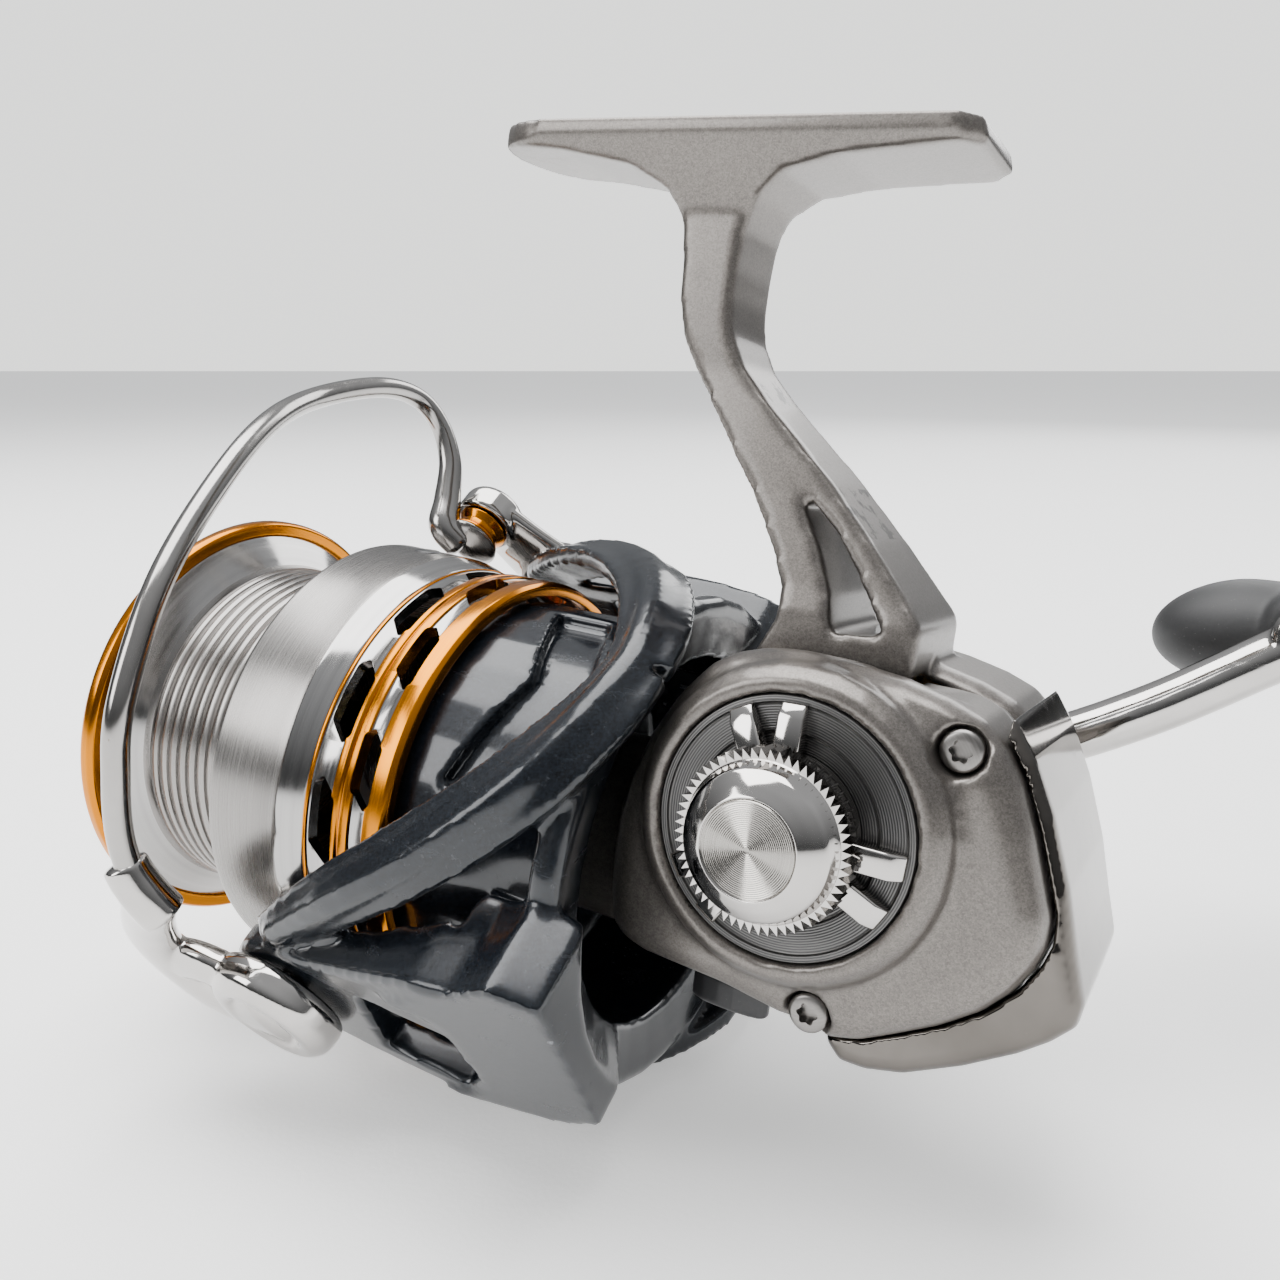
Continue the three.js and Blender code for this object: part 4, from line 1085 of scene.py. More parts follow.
@dataclass
class Housing:
    """The body, its side cover and rear cover, and the stopper lever."""

    shop: Workshop
    grain: float = 0.42
    relax: int = 7
    disc_r: float = 11.1
    disc_y: float = -16.0
    screw_y: float = -13.5
    screw_spots: tuple[Pair, ...] = ((31.9, 18.2), (23.2, -6.6))

    def build(self) -> None:
        """Builds the housing's pieces."""
        paint = [self.shop.finishes.body]
        for node in ("body_frame", "side_cover"):
            shell = cast(copy_of(node), self.grain, self.relax)
            finished(shell, f"{node}_skin", Body.HOUSING, paint, [node])
        rear = cast(copy_of("rear_cover"), 0.3, 5)
        finished(rear, "rear_cover_skin", Body.HOUSING, [self.shop.finishes.smoked],
                 ["rear_cover"])
        lever = cast(copy_of("stopper_lever"), 0.2, 4)
        finished(lever, "stopper_lever_skin", Body.STOPPER, [self.shop.finishes.plastic],
                 ["stopper_lever"])
        self.build_disc()
        self.build_fins()
        self.build_screws()

    def build_disc(self) -> None:
        """The dark ringed plate with its raised border."""
        y = self.disc_y
        profile = eased([
            (4.8, y + 0.5), (7.9, y + 0.5), (8.1, y + 0.15), (10.3, y + 0.15), (10.45, y - 0.12),
            (self.disc_r - 0.1, y - 0.12), (self.disc_r, y + 0.1), (self.disc_r, y + 1.1), (4.8, y + 1.1)],
            0.12, 3, closed=True)
        disc = shaded(as_mesh("disc", turned(profile, 160), ON_DRIVE))
        finished(disc, "side_disc_plate", Body.HOUSING, [self.shop.finishes.disc],
                 ["side_disc"])

    def build_fins(self) -> None:
        """The bright ring round the cap, with its fins."""
        y = self.disc_y
        hub = turned(eased([(4.8, y - 1.5), (6.1, y - 1.6), (6.5, y - 0.6), (6.6, y + 0.3), (4.8, y + 0.3)],
                           0.2, 3, closed=True), 96)
        pieces = [as_mesh("hub", hub, ON_DRIVE)]
        for angle in [middle + side for middle in (105, -15, -135) for side in (-13, 13)]:
            pieces.append(bevelled(as_mesh("fin", self.fin(angle), Matrix.Translation(DRIVE_AT)), 0.22))
        ring = shaded(joined(pieces))
        finished(ring, "fin_ring_bright", Body.HOUSING, [self.shop.finishes.chrome],
                 ["fin_ring"])

    def fin(self, angle: float) -> Shape:
        """One fin: a tapering wedge whose outer end slopes down to the plate."""
        c, s = math.cos(math.radians(angle)), math.sin(math.radians(angle))
        stations = ((5.4, 1.1, -1.75), (9.4, 1.1, -1.3), (10.5, 1.05, -0.55))
        shape = Shape()
        for reach, half, top in stations:
            for side, y in ((-half, top), (half, top), (half, 0.1), (-half, 0.1)):
                shape.points.append(Vector((reach * c - side * s, self.disc_y + y, reach * s + side * c)))
        for k in (0, 4):
            for i in range(4):
                j = (i + 1) % 4
                shape.faces.append((k + i, k + j, k + 4 + j, k + 4 + i))
        shape.faces.append((3, 2, 1, 0))
        shape.faces.append((8, 9, 10, 11))
        return shape

    def build_screws(self) -> None:
        """The cover's screws."""
        screw = star_screw(1.75, 1.4, 0.85, 1.0, 14).moved(ALONG_Y)
        places = [(x, self.screw_y, z) for x, z in self.screw_spots]
        screws = self.shop.patterns.set_of(screw, places, Matrix.Identity(4), self.shop.finishes.steel)
        finished(shaded(screws), "cover_screws", Body.HOUSING, [],
                 ["cover_screw_1", "cover_screw_2"])


# ============================ drive and handle ============================

@dataclass
class Handle:
    """The cap, the crank arm and the knob."""

    shop: Workshop
    cap_r: float = 7.4
    cap_back_y: float = -18.2
    cap_teeth: int = 60
    groove_pitch: float = 0.16
    hub_near_y: float = 14.4
    hub_far_y: float = 33.6
    arm_y: float = 36.8
    arm_r: float = 2.85
    knob_y: float = 41.9
    knob_half: float = 16.8
    knob_lean: float = -11.0

    def build(self) -> None:
        """Builds the pieces that turn with the drive shaft."""
        self.build_cap()
        self.build_arm()
        self.build_knob()

    def build_cap(self) -> None:
        """The bright domed cap with its toothed rim and spun face."""
        y = self.cap_back_y
        dome = [
            (2.0, -10.5), (2.0, y), (self.cap_r - 1.2, y), (self.cap_r - 0.75, y - 0.25),
            (self.cap_r - 0.75, y - 2.4), (self.cap_r - 1.0, y - 2.75), (6.0, y - 3.9), (5.1, y - 4.6),
            (4.15, y - 5.15), (4.0, y - 5.2), (3.9, y - 5.05), (0, y - 5.05)]
        cap = shaded(as_mesh("cap", turned([(0, -10.5), *eased(dome, 0.35, 4)], 160), ON_DRIVE), 50)
        finished(cap, "drive_cap_dome", Body.DRIVE, [self.shop.finishes.chrome], ["drive_cap"])
        saw = ((self.cap_r - 1.0, -0.42), (self.cap_r, -0.26), (self.cap_r - 1.0, 0.42))
        tooth = Shape([Vector((end, *corner)) for end in (y - 0.2, y - 2.5) for corner in saw],
            [(0, 1, 2), (5, 4, 3), (0, 3, 4, 1), (1, 4, 5, 2), (2, 5, 3, 0)])
        teeth = self.shop.patterns.ring_of(tooth, self.cap_teeth, 0.0, ON_DRIVE, self.shop.finishes.chrome)
        finished(shaded(teeth, 30), "drive_cap_teeth", Body.DRIVE, [])
        grooves = [(3.8 - k * self.groove_pitch / 2, y - 5.2 + (0.035 if k % 2 else 0.0))
                   for k in range(int(7.4 / self.groove_pitch))]
        face = turned([(0, y - 5.0), (3.88, y - 5.0), (3.88, y - 5.12), *grooves, (0, y - 5.2)], 128)
        finished(shaded(as_mesh("face", face, ON_DRIVE)), "drive_cap_face", Body.DRIVE,
                 [self.shop.finishes.spun])

    def build_arm(self) -> None:
        """The collar on the drive shaft and the bright round arm."""
        near, far = self.hub_near_y, self.hub_far_y
        collar = eased([
            (0, near), (5.2, near), (5.2, near + 3.4), (3.8, near + 5), (3.5, far - 4), (3.5, far - 2.2),
            (4.3, far - 1.4), (4.3, far - 0.05), (0, far - 0.05)], 0.5, 5)
        finished(shaded(as_mesh("collar", turned(collar, 96), ON_DRIVE)), "handle_collar_turned", Body.DRIVE,
                 [self.shop.finishes.chrome], ["handle_collar"])
        seal = eased([(4.0, 13.1), (6.6, 13.1), (6.6, 13.9), (6.2, 14.3), (4.0, 14.3)], 0.2, 3, closed=True)
        finished(shaded(as_mesh("seal", turned(seal, 96), ON_DRIVE)), "shaft_seal_ring", Body.HOUSING,
                 [self.shop.finishes.plastic], ["shaft_seal"])
        y = self.arm_y
        base = turned(eased([
            (0, far + 0.1), (3.6, far + 0.1), (4.3, far + 0.9), (4.3, y + 2), (3.2, y + 3.2), (0, y + 3.3)],
            0.6, 5), 96).moved(ALONG_Y)
        path = curve_through([
            (0, y, 0), (5, y, 0.1), (11.3, y + 0.2, 1.2), (22, y + 0.8, 7.6), (32.2, y + 1.4, 15.3),
            (ARM_END[0], y + 1.6, ARM_END[1])], 60)
        tube = swept(path, lambda t: oval(self.arm_r * (1 + 0.12 * (1 - t)), self.arm_r), None, 0.1)
        eye = turned(eased([(0, y - 1.2), (4.1, y - 1.2), (4.1, y + 4.75), (0, y + 4.75)], 0.9, 6), 96)
        eye = eye.moved(Matrix.Translation((ARM_END[0], 0, ARM_END[1])) @ ALONG_Y)
        arm = as_mesh("arm", base + tube + eye, Matrix.Translation(DRIVE_AT))
        finished(cast(arm, 0.24, 5), "handle_arm_bright", Body.DRIVE,
                 [self.shop.finishes.chrome], ["handle_arm"])

    def build_knob(self) -> None:
        """The black paddle knob and the cap in its end."""
        start = self.knob_y
        lean = turn(self.knob_lean, "Y")
        paddle = Shape()
        rings, sides = 72, 72
        for i in range(rings + 1):
            along = -1 + 2 * i / rings
            along = math.sin(along * math.pi / 2)
            full = max(1 - abs(along) ** 2.6, 0.0) ** 0.5
            waist = 1 - 0.2 * math.exp(-(along / 0.33) ** 2)
            for k in range(sides):
                angle = math.tau * k / sides
                wide = 6.9 * full * waist
                deep = 8.3 * full * (1 - 0.06 * math.exp(-(along / 0.4) ** 2))
                paddle.points.append(Vector((
                    self.knob_half * along, start + 8.6 + deep * math.cos(angle), wide * math.sin(angle))))
        for i in range(rings):
            for k in range(sides):
                j = (k + 1) % sides
                a, b = i * sides, (i + 1) * sides
                paddle.faces.append((a + k, a + j, b + j, b + k))
        neck = turned(eased([
            (0, start), (4.6, start), (5.4, start + 1.2), (5.8, start + 5), (0, start + 5)], 0.6), 72)
        body = as_mesh("knob", paddle.moved(lean) + neck.moved(ALONG_Y), KNOB_AT)
        body = cast(body, 0.36, 9)
        finished(body, "handle_knob_grip", Body.KNOB, [self.shop.finishes.rubber],
                 ["handle_knob", "knob_bush"])
        end = start + 16.5
        cap = turned(eased([
            (0, end), (3.2, end), (3.2, end + 0.35), (2.6, end + 0.62), (0, end + 0.66)], 0.15), 64)
        finished(shaded(as_mesh("knob_cap", cap, KNOB_AT @ ALONG_Y)), "knob_cap_turned", Body.KNOB,
                 [self.shop.finishes.steel], ["knob_cap"])


# ============================ spool ============================

@dataclass
class Spool:
    """The spool with its gold lip and ported skirt, and the drag knob in its front."""

    shop: Workshop
    lip_x: float = -56.6
    lip_r: float = 24.0
    trunk: Pair = (-52.2, -38.0)
    trunk_r: float = 19.0
    grooves: int = 9
    flange_x: float = -36.7
    bevel_x: float = -28.0
    skirt_x: Pair = (-25.2, -15.6)
    skirt_inner_r: float = 21.6
    skirt_r: float = 22.9
    window_count: int = 12
    window_half: float = 4.3

    def build(self) -> None:
        """Builds the spool's pieces."""
        self.build_lip()
        self.build_barrel()
        self.build_skirt()
        self.build_clip()
        self.build_drag_knob()

    def build_lip(self) -> None:
        """The gold ring round the front."""
        x, r = self.lip_x, self.lip_r
        profile = eased([
            (r - 1.6, x + 0.5), (r - 1.0, x), (r - 0.45, x + 0.05), (r, x + 0.7), (r, x + 1.7),
            (r - 0.35, x + 2.25), (r - 1.6, x + 2.3)], 0.25, 4, closed=True)
        lip = shaded(as_mesh("lip", turned(profile, 224)), 50)
        finished(lip, "spool_lip_ring", Body.SPOOL, [self.shop.finishes.gold], ["spool_lip"])

    def trunk_line(self) -> list[Pair]:
        """The trunk's profile: round-topped ridges with a narrow groove between each pair."""
        low, high = self.trunk
        pitch = (high - low - 1.4) / self.grooves
        line: list[Pair] = []
        for i in range(self.grooves + 1):
            x = low + 0.7 + i * pitch
            line += [(self.trunk_r - 0.12, x - 0.2), (self.trunk_r - 0.42, x - 0.06),
                     (self.trunk_r - 0.42, x + 0.06), (self.trunk_r - 0.12, x + 0.2)]
            if i < self.grooves:
                line += [(self.trunk_r, x + pitch * k) for k in (0.36, 0.5, 0.64)]
        return line

    def build_barrel(self) -> None:
        """The front dish, the trunk and the sloped flange, in satin and polished alloy."""
        x = self.lip_x
        front = eased([
            (2.5, -49.4), (9.6, -49.4), (9.6, x + 3.2), (14.4, x + 3.2), (18.4, x + 2.9), (20.6, x + 1.0),
            (22.5, x + 0.7), (22.5, x + 2.0), (self.trunk_r + 0.2, self.trunk[0] + 0.1)], 0.3, 3)
        rear = eased([
            (self.trunk_r + 0.1, self.trunk[1]), (23.8, self.flange_x - 0.1), (24.0, self.flange_x + 0.2),
            (23.85, self.bevel_x), (22.85, self.skirt_x[0] + 0.05),
            (self.skirt_inner_r, self.skirt_x[0] + 0.05), (self.skirt_inner_r, -30.6), (15.8, -35),
            (15.8, -47.4), (4.9, -47.4), (4.9, -33.4), (2.5, -33.4)],
            0.35, 4)
        barrel = as_mesh("barrel", turned([*front, *self.trunk_line(), *rear], 192))
        mesh = barrel.data
        mesh.materials.append(self.shop.finishes.satin)
        mesh.materials.append(self.shop.finishes.polished_alloy)
        bright = (self.bevel_x + 0.05) * MM
        for face in mesh.polygons:
            front_dish = face.center.x < (self.lip_x + 3.5) * MM
            face.material_index = int(front_dish or face.center.x > bright)
        finished(shaded(barrel, 35), "spool_barrel", Body.SPOOL, [], ["spool"])

    def build_skirt(self) -> None:
        """The ported skirt: a ring with two staggered rows of windows cut by a node tree."""
        inner = self.skirt_inner_r
        front, rear = self.skirt_x
        r = self.skirt_r
        profile = eased([
            (inner, front), (r + 0.12, front), (r + 0.12, front + 0.42), (r - 0.12, front + 0.5),
            (r - 0.18, -22.2),
            (r + 0.1, -22.05), (r + 0.1, -21.2), (r - 0.12, -21.0), (r + 0.1, -20.8), (r + 0.1, -19.75),
            (r - 0.2, -19.6), (r - 0.2, -18.15), (r + 0.08, -18.0), (r + 0.08, rear - 0.5), (r - 0.3, rear),
            (inner, rear)], 0.12, 2, closed=True)
        skirt = as_mesh("skirt", turned(profile, 240))
        tree = self.window_tree()
        cutters = [raw_object(f"window_{i}", self.window(*span)) for i, span in enumerate((
            (-24.55, -21.6, self.window_half), (-20.1, -17.6, self.window_half - 0.4)))]
        for cutter in cutters:
            cutter.data.transform(Matrix.Scale(MM, 4))
        tree.run(skirt, First=cutters[0], Second=cutters[1], Count=self.window_count,
                 Stagger=math.pi / self.window_count, Drop=SHAFT_DROP * MM,
                 Gold=self.shop.finishes.gold, Silver=self.shop.finishes.polished_alloy)
        for cutter in cutters:
            bpy.data.objects.remove(cutter)
        finished(shaded(skirt, 30), "spool_skirt", Body.SPOOL, [], ["spool"])

    @staticmethod
    def window(low: float, high: float, half: float) -> Shape:
        """One window's cutter: a long slanted hexagon, standing on the skirt."""
        middle = (low + high) / 2
        outline = [(low, -half * 0.55), (low, half * 0.8), (middle - 0.5, half), (high, half * 0.55),
                   (high, -half * 0.8), (middle + 0.5, -half)]
        return slab(eased(outline, 0.3, 3, closed=True), 20.6, 25.5)

    @staticmethod
    def window_tree() -> PatternTree:
        """The tree that cuts the windows and sorts the skirt's bands into gold and silver."""
        tree = PatternTree("skirt_windows")
        first = tree.size("First", "NodeSocketObject")
        second = tree.size("Second", "NodeSocketObject")
        count = tree.size("Count", "NodeSocketInt", 12)
        stagger = tree.size("Stagger", "NodeSocketFloat", 0.0)
        drop = tree.size("Drop", "NodeSocketFloat", 0.0)
        gold = tree.size("Gold", "NodeSocketMaterial")
        silver = tree.size("Silver", "NodeSocketMaterial")
        down = tree.node("ShaderNodeMath", {"operation": "MULTIPLY"}, {0: drop, 1: -1.0})
        shift = tree.node("ShaderNodeCombineXYZ", inputs={"Z": down.outputs[0]})
        rows = []
        for piece, start in ((first, None), (second, stagger)):
            points = tree.node("GeometryNodePoints", inputs={"Count": count})
            index = tree.node("GeometryNodeInputIndex")
            share = tree.node("ShaderNodeMath", {"operation": "DIVIDE"}, {0: index.outputs[0], 1: count})
            terms: dict[str | int, object] = {0: share.outputs[0], 1: math.tau, 2: 0.0}
            if start is not None:
                terms[2] = start
            angle = tree.node("ShaderNodeMath", {"operation": "MULTIPLY_ADD"}, terms)
            spin = tree.node("ShaderNodeCombineXYZ", inputs={"X": angle.outputs[0]})
            source = tree.node("GeometryNodeObjectInfo", {"transform_space": "ORIGINAL"}, {"Object": piece})
            copies = tree.node("GeometryNodeInstanceOnPoints", inputs={
                "Points": points.outputs[0], "Instance": source.outputs["Geometry"],
                "Rotation": spin.outputs[0]})
            moved = tree.node("GeometryNodeTransform", inputs={
                "Geometry": copies.outputs[0], "Translation": shift.outputs[0]})
            rows.append(tree.node("GeometryNodeRealizeInstances", inputs={0: moved.outputs[0]}).outputs[0])
        cutting = tree.node("GeometryNodeMeshBoolean", {"operation": "DIFFERENCE", "solver": "EXACT"},
                            {"Mesh 1": tree.entry.outputs[0]})
        for row in rows:
            tree.tree.links.new(row, cutting.inputs["Mesh 2"])
        dressed = tree.node("GeometryNodeSetMaterial", inputs={
            "Geometry": cutting.outputs[0], "Material": silver})
        place = tree.node("GeometryNodeInputPosition")
        along = tree.node("ShaderNodeSeparateXYZ", inputs={0: place.outputs[0]}).outputs["X"]
        result = dressed.outputs[0]
        for low, high in ((-25.25, -24.72), (-22.2, -19.62), (-18.14, -15.5)):
            above = tree.node("FunctionNodeCompare", {"operation": "GREATER_THAN"}, {0: along, 1: low * MM})
            below = tree.node("FunctionNodeCompare", {"operation": "LESS_THAN"}, {0: along, 1: high * MM})
            both = tree.node("FunctionNodeBooleanMath", {"operation": "AND"},
                             {0: above.outputs[0], 1: below.outputs[0]})
            result = tree.node("GeometryNodeSetMaterial", inputs={
                "Geometry": result, "Selection": both.outputs[0], "Material": gold}).outputs[0]
        real = tree.node("GeometryNodeRealizeInstances", inputs={0: result})
        tree.tree.links.new(real.outputs[0], tree.exit.inputs[0])
        return tree

    def build_clip(self) -> None:
        """The small round line clip on the bevel."""
        button = turned(eased([(0, 22.6), (1.5, 22.6), (1.5, 23.9), (1.2, 24.08), (0, 24.1)], 0.12), 48)
        clip = as_mesh("clip", button, Matrix.Translation((-31.6, 0, 0)) @ turn(-90, "Y"))
        finished(shaded(clip), "line_clip_button", Body.SPOOL,
                 [self.shop.finishes.plastic], ["line_clip"])

    def build_drag_knob(self) -> None:
        """The drag knob: a fluted disc with a raised grip bar."""
        face = self.lip_x - 4.4
        r = 13.4
        disc = turned(eased([
            (1.8, face + 1.4), (1.8, face + 0.4), (3.2, face), (10.2, face + 0.2), (12.2, face + 0.6),
            (r, face + 2.6), (r, face + 5.6), (12, self.lip_x + 2.6), (8.7, self.lip_x + 2.6),
            (8.7, self.lip_x - 0.3), (1.8, self.lip_x - 0.3)], 0.4, 4, closed=True), 192,
            lambda a: 1 + 0.006 * math.cos(36 * a))
        bar = slab(eased([(-1.9, -11.0), (1.9, -11.0), (2.4, 0), (1.9, 11.0), (-1.9, 11.0), (-2.4, 0)],
                         1.2, 5, closed=True), face - 1.35, face + 1.0)
        grip = bevelled(as_mesh("grip", bar.moved(turn(90, "Y"))), 0.4)
        knob = joined([as_mesh("drag", disc), grip])
        finished(shaded(knob, 40), "drag_knob_grip", Body.DRAG, [self.shop.finishes.satin],
                 ["drag_knob"])
        shaft = turned(eased([
            (0, face + 1.6), (1.5, face + 1.6), (1.6, face + 1.8), (1.6, 26.6), (0, 26.6)], 0.1), 64)
        finished(shaded(as_mesh("shaft", shaft)), "main_shaft_rod", Body.SHAFT,
                 [self.shop.finishes.steel], ["main_shaft"])


# ============================ rotor ============================

@dataclass
class Rotor:
    """The rotor with its two arms, arches and cup."""

    shop: Workshop
    cup_r: float = 20.8
    arch_r: float = 26.9
    arch_sink: float = 1.3
    grain: float = 0.42

    def build(self) -> None:
        """Builds the rotor."""
        body = joined([copy_of("rotor"), as_mesh("arches", total(self.arches()), ON_ROTOR)])
        for angles, skew in (((56, 94), 5.0), ((236, 274), 5.0), ((-94, -56), -5.0), ((-274, -236), -5.0)):
            pocket = arc_block((self.cup_r - 1.5, self.cup_r + 2.2), (-9.6, -3.6), angles, skew)
            body = cut(body, as_mesh("pocket", pocket, ON_ROTOR))
        skin = cast(body, self.grain, 6)
        finished(skin, "rotor_skin", Body.ROTOR, [self.shop.finishes.rotor], ["rotor"])

    def arches(self) -> list[Shape]:
        """The ridged bands that sweep from each arm's pivot to the rear ring."""
        known = (
            (14, -26.4), (22, -22.0), (30, -17.2), (41, -10.4), (52, -4.6), (64, 0.2), (78, 3.6), (90, 4.8))
        shapes = []
        for side in (1, -1):
            for up in (1, -1):
                points = []
                for degrees, x in known:
                    a = math.radians(degrees)
                    reach = self.arch_r - self.arch_sink * math.sin(a) ** 4
                    points.append((x, up * reach * math.sin(a), side * reach * math.cos(a)))
                shapes.append(swept(curve_through(points, 48), self.arch_section, self.outwards))
        return shapes

    @staticmethod
    def outwards(point: Vector) -> Vector:
        """The direction away from the shaft's axis at a point."""
        return Vector((0, point.y, point.z)).normalized()

    @staticmethod
    def arch_section(t: float) -> list[Pair]:
        """The band's section: a low roof with a ridge, wider towards the rear ring."""
        half = 2.4 + 1.3 * math.sin(math.pi * min(t, 1.0) * 0.75)
        return [(-1.6, -half + 0.6), (0.4, -half), (1.55, -0.5), (1.6, 0.3), (0.3, half), (-1.6, half - 0.6)]


# ============================ bail ============================

@dataclass
class Bail:
    """The bail wire, its two levers and the line roller."""

    shop: Workshop
    wire_r: float = 1.18
    lever_s: Pair = (28.7, 32.6)

    @staticmethod
    def on_bail(s: float, reach: float, degrees: float) -> Triple:
        """A point of the bail from its place along the hinge, its reach from it and its angle."""
        a = math.radians(degrees)
        return (BAIL_PIVOT_X - reach * math.cos(a), reach * math.sin(a), s)

    def build(self) -> None:
        """Builds the bail's pieces."""
        self.build_wire()
        self.build_holder()
        self.build_roller_lever()
        self.build_screws()

    def build_wire(self) -> None:
        """The wire, which thickens to a cone where it meets the line roller."""
        known = (
            (30.6, 18.0, 70.5), (30.4, 19.4, 70), (28.8, 23.8, 73.5), (26.2, 28.5, 77.4), (21.8, 33.7, 79.6),
            (12, 38.6, 78.4), (0, 40.5, 74.6), (-11, 40.3, 69), (-21, 38, 62), (-29.6, 34, 58.6),
            (-34, 30, 55), (-34.2, 25.8, 52.8), (-31.8, 22.0, 51), (-27.8, 19.2, 49), (-25, 17.4, 47.6),
            (-24.5, 14.8, 47))
        path = curve_through([self.on_bail(*p) for p in known], 220)
        wire = swept(path, lambda t: oval(self.radius_at(t), self.radius_at(t)), None, 0.4)
        cone = turned(eased([
            (0, 23.9), (1.3, 24.2), (2.9, 25.1), (3.5, 25.6), (3.5, 25.8), (0, 25.8)], 0.3), 64)
        body = joined([as_mesh("wire", wire, ON_ROTOR), as_mesh("cone", cone, ON_ROLLER)])
        finished(shaded(body, 60), "bail_wire_bright", Body.BAIL, [self.shop.finishes.wire],
                 ["bail_wire"])

    def radius_at(self, t: float) -> float:
        """The wire's radius along its length."""
        return self.wire_r + 0.75 * max(0.0, (t - 0.72) / 0.2) ** 1.5 if t < 0.92 else self.wire_r + 0.75

    def build_holder(self) -> None:
        """The forged near lever: a boss round the pivot screw, a bent neck and a collar for the wire."""
        low, high = self.lever_s
        mid = (low + high) / 2
        neck = curve_through([
            (BAIL_PIVOT_X, -0.6, mid), (-30.5, -2.0, mid), (-35.2, -1.4, mid + 0.1), (-38.2, 2.2, mid + 0.1),
            (-38.0, 7.2, mid + 0.2), (-35.4, 11.8, mid + 0.2), (-32.2, 15.8, mid + 0.2)], 60)
        arm = swept(neck, self.neck_section, lambda p: Vector((0, 0, 1)), 0.3)
        thumb = swept(curve_through([
            (-36.8, 3.2, mid), (-33.6, 4.0, mid - 0.2), (-30.0, 3.4, mid - 0.4),
            (-26.6, 3.6, mid - 0.4)], 24),
            lambda t: oval(1.7, 2.9 - 0.6 * t, 28), lambda p: Vector((0, 0, 1)), 0.3)
        boss = turned(eased([
            (0, low), (6.6, low), (7.0, low + 0.7), (6.8, high - 1.1), (5.6, high), (4.1, high - 0.1),
            (3.5, high - 0.9), (3.45, high - 1.7), (0, high - 1.7)], 0.6, 5), 96)
        boss = boss.moved(Matrix.Translation((BAIL_PIVOT_X, 0, 0)) @ turn(-90, "Y"))
        collar = swept(curve_through([self.on_bail(30.9, 15.4, 71.4), self.on_bail(30.7, 17.6, 70.6),
                                      self.on_bail(30.3, 19.6, 69.9), self.on_bail(29.8, 21.2, 69.6)], 24),
                       lambda t: oval(2.15 - 0.15 * t, 2.15 - 0.15 * t), None, 0.12)
        body = cast(as_mesh("holder", arm + thumb + boss + collar, ON_ROTOR), 0.2, 7)
        finished(body, "bail_holder_bright", Body.BAIL, [self.shop.finishes.chrome],
                 ["bail_holder"])

    @staticmethod
    def neck_section(t: float) -> list[Pair]:
        """The neck's section: flat across the lever and narrower towards the wire."""
        wide = 5.4 - 3.0 * t ** 0.7
        return oval(1.85, wide, 32)

    def build_roller_lever(self) -> None:
        """The far lever and the gold line roller."""
        low, high = self.lever_s
        pivot = turned(eased([
            (0, low), (7.0, low), (7.2, low + 1), (6.9, high - 0.9), (5.8, high), (4.0, high - 0.1),
            (3.5, high - 0.9),
            (3.45, high - 1.7), (0, high - 1.7)], 0.6, 5), 96).moved(
                Matrix.Translation((BAIL_PIVOT_X, 0, 0)) @ turn(90, "Y"))
        tip = turned(eased([
            (0, low), (4.0, low), (4.1, high - 0.9), (3.2, high), (0, high)], 0.6, 5), 96).moved(
                Matrix.Translation((*ROLLER_AT, 0)) @ turn(90, "Y"))
        mid = -(low + high) / 2
        arm = swept(curve_through([(BAIL_PIVOT_X, 0, mid), (-31, 4.6, mid), (*ROLLER_AT, mid)], 32),
                    lambda t: oval(1.8, 6.4 - 2.6 * t, 32), lambda p: Vector((0, 0, 1)), 0.2)
        body = cast(as_mesh("lever", pivot + tip + arm, ON_ROTOR), 0.22, 6)
        finished(body, "roller_lever_bright", Body.BAIL, [self.shop.finishes.chrome],
                 ["roller_lever"])
        roller = turned(eased([
            (1.5, 26.0), (3.3, 26.0), (3.3, 26.3), (2.75, 26.7), (2.6, 27.5), (3.3, 28.45), (1.5, 28.5)],
            0.2, 4, closed=True), 96)
        finished(shaded(as_mesh("roller", roller, ON_ROLLER), 50), "line_roller_gold", Body.ROLLER,
                 [self.shop.finishes.gold], ["line_roller"])

    def build_screws(self) -> None:
        """The pivot screws and the roller's screw."""
        head = self.lever_s[1] - 0.75
        screw = star_screw(3.15, 0.9, 0.85, 1.5, 6).moved(Matrix.Translation((head, 0, 0)) @ turn(180, "Z"))
        for place, name in ((NEAR_PIVOT, "near"), (FAR_PIVOT, "far")):
            thing = shaded(as_mesh("screw", screw, place))
            finished(thing, f"pivot_screw_{name}_star", Body.ROTOR, [self.shop.finishes.steel],
                     [f"pivot_screw_{name}"])
        small = star_screw(2.3, 0.8, 0.8, 1.1, 6).moved(
            Matrix.Translation((self.lever_s[1] + 0.85, 0, 0)) @ turn(180, "Z"))
        finished(shaded(as_mesh("screw", small, ON_ROLLER)), "roller_screw_star", Body.BAIL,
                 [self.shop.finishes.steel], ["roller_screw"])


# ============================ studio ============================

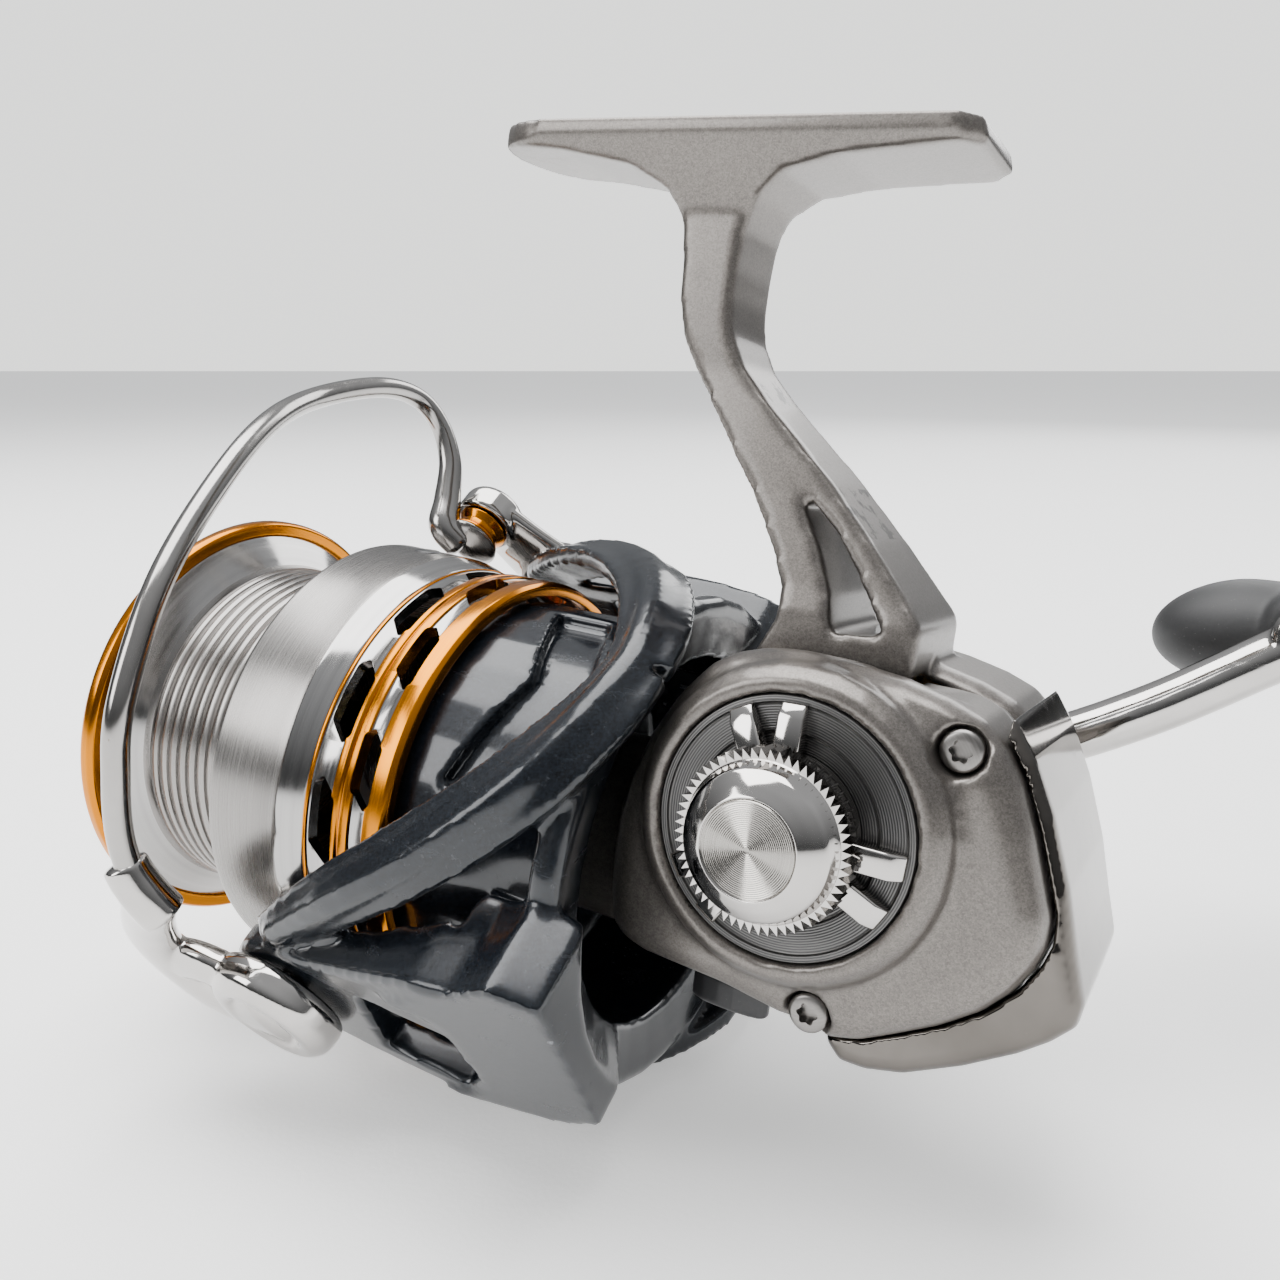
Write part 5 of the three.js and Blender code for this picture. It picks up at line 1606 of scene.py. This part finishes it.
@dataclass
class Studio:
    """The floor, the lights and the camera."""

    shop: Workshop
    eye: Triple = (49.836, -103.313, -29.799)
    right: Triple = (0.87055362, 0.47554646, 0.12645936)
    up: Triple = (-0.18529759, 0.07873385, 0.97952324)
    back: Triple = (0.45585217, -0.87616012, 0.15665965)
    lens: float = 32.9
    floor_lean: float = 14.0

    def build(self) -> None:
        """Builds the studio."""
        self.build_camera()
        self.build_floor()
        self.build_lights()

    def build_camera(self) -> None:
        """The camera, set close to the reel."""
        data = bpy.data.cameras.new("camera")
        data.lens = self.lens
        data.sensor_width = 36.0
        data.clip_start = 0.005
        camera = bpy.data.objects.new("camera", data)
        rows = zip(self.right, self.up, self.back, [v * MM for v in self.eye])
        camera.matrix_world = Matrix([*rows, (0, 0, 0, 1)])
        bpy.context.scene.collection.objects.link(camera)
        bpy.context.scene.camera = camera

    def floor_normal(self) -> Vector:
        """The floor's upward direction: level across the view and leaned towards the camera."""
        lean = math.radians(self.floor_lean)
        return (Vector(self.up) * math.cos(lean) + Vector(self.back) * math.sin(lean)).normalized()

    def build_floor(self) -> None:
        """A wide plane that the reel's lowest points touch."""
        normal = self.floor_normal()
        lowest = math.inf
        for node in frame["nodes"].values():
            for point in node.data.vertices:
                lowest = min(lowest, point.co.dot(normal))
        across = Vector(self.right)
        ahead = normal.cross(across)
        size = 4.0
        steps = 8
        mesh = bpy.data.meshes.new("floor")
        middle = normal * lowest
        points = [middle + across * (size * (i / steps - 0.5) * 2) + ahead * (size * (j / steps - 0.5) * 2)
                  for j in range(steps + 1) for i in range(steps + 1)]
        wide = steps + 1
        faces = [(j * wide + i, j * wide + i + 1, (j + 1) * wide + i + 1, (j + 1) * wide + i)
                 for j in range(steps) for i in range(steps)]
        mesh.from_pydata([tuple(p) for p in points], [], faces)
        mesh.materials.append(self.shop.finishes.floor)
        floor = bpy.data.objects.new("floor", mesh)
        bpy.context.scene.collection.objects.link(floor)

    def build_lights(self) -> None:
        """A broad soft light above, a long one beside, and a pale surround."""
        normal = self.floor_normal()
        across = Vector(self.right)
        towards = across.cross(normal)
        centre = Vector((0.0, 0.0, -0.05))
        for name, side, high, near, size, power in (
                ("overhead", -0.15, 0.75, -0.1, 0.8, 17.0),
                ("window", -0.8, 0.45, 0.35, 0.45, 5.0),
                ("rear", 0.5, 0.5, -0.8, 0.5, 4.0)):
            data = bpy.data.lights.new(name, "AREA")
            data.shape = "SQUARE"
            data.size = size
            data.energy = power
            light = bpy.data.objects.new(name, data)
            place = centre + across * side + normal * high + towards * near
            light.location = place
            light.rotation_euler = (centre - place).to_track_quat("-Z", "Y").to_euler()
            bpy.context.scene.collection.objects.link(light)
        bpy.context.scene.world = self.surround()

    @staticmethod
    def surround() -> bpy.types.World:
        """A room that is pale above and behind and dim low down, and an even pale wall for the background."""
        world = bpy.data.worlds.new("surround")
        world.use_nodes = True
        tree = world.node_tree
        room = tree.nodes["Background"]
        place = tree.nodes.new("ShaderNodeTexCoord")
        parts = tree.nodes.new("ShaderNodeSeparateXYZ")
        tree.links.new(place.outputs["Generated"], parts.inputs[0])
        ramp = tree.nodes.new("ShaderNodeValToRGB")
        ramp.color_ramp.elements[0].position = 0.0
        ramp.color_ramp.elements[0].color = (0.16, 0.165, 0.17, 1)
        ramp.color_ramp.elements[1].position = 0.75
        ramp.color_ramp.elements[1].color = (0.95, 0.97, 1.0, 1)
        tree.links.new(parts.outputs["Z"], ramp.inputs[0])
        tree.links.new(ramp.outputs[0], room.inputs[0])
        room.inputs[1].default_value = 0.7
        wall = tree.nodes.new("ShaderNodeBackground")
        wall.inputs[0].default_value = (0.87, 0.875, 0.86, 1)
        wall.inputs[1].default_value = 2.0
        path = tree.nodes.new("ShaderNodeLightPath")
        mix = tree.nodes.new("ShaderNodeMixShader")
        tree.links.new(path.outputs["Is Camera Ray"], mix.inputs[0])
        tree.links.new(room.outputs[0], mix.inputs[1])
        tree.links.new(wall.outputs[0], mix.inputs[2])
        tree.links.new(mix.outputs[0], tree.nodes["World Output"].inputs[0])
        return world


# ============================ the whole reel ============================

def dress_inner_parts(finishes: Finishes) -> None:
    """Gives each frame node that keeps its mesh the finish of its slot."""
    slots = {part["node"]: part["material_slot"] for part in frame["record"]["subparts"]}
    for name, node in frame["nodes"].items():
        if node.hide_render:
            continue
        node.data.materials.clear()
        node.data.materials.append(finishes.of_slot(slots[name]))
        LOG.info("%s keeps its mesh with %s", name, slots[name])


def main() -> None:
    """Builds the studio and the reel, and reports each piece."""
    logging.basicConfig(level=logging.INFO, format="%(name)s: %(message)s")
    shop = Workshop(Finishes(), Patterns())
    for part in (Studio(shop), Housing(shop), Handle(shop), Spool(shop), Rotor(shop), Bail(shop)):
        part.build()
        LOG.info("%s done", type(part).__name__)
    dress_inner_parts(shop.finishes)


if __name__ == "__main__":
    main()
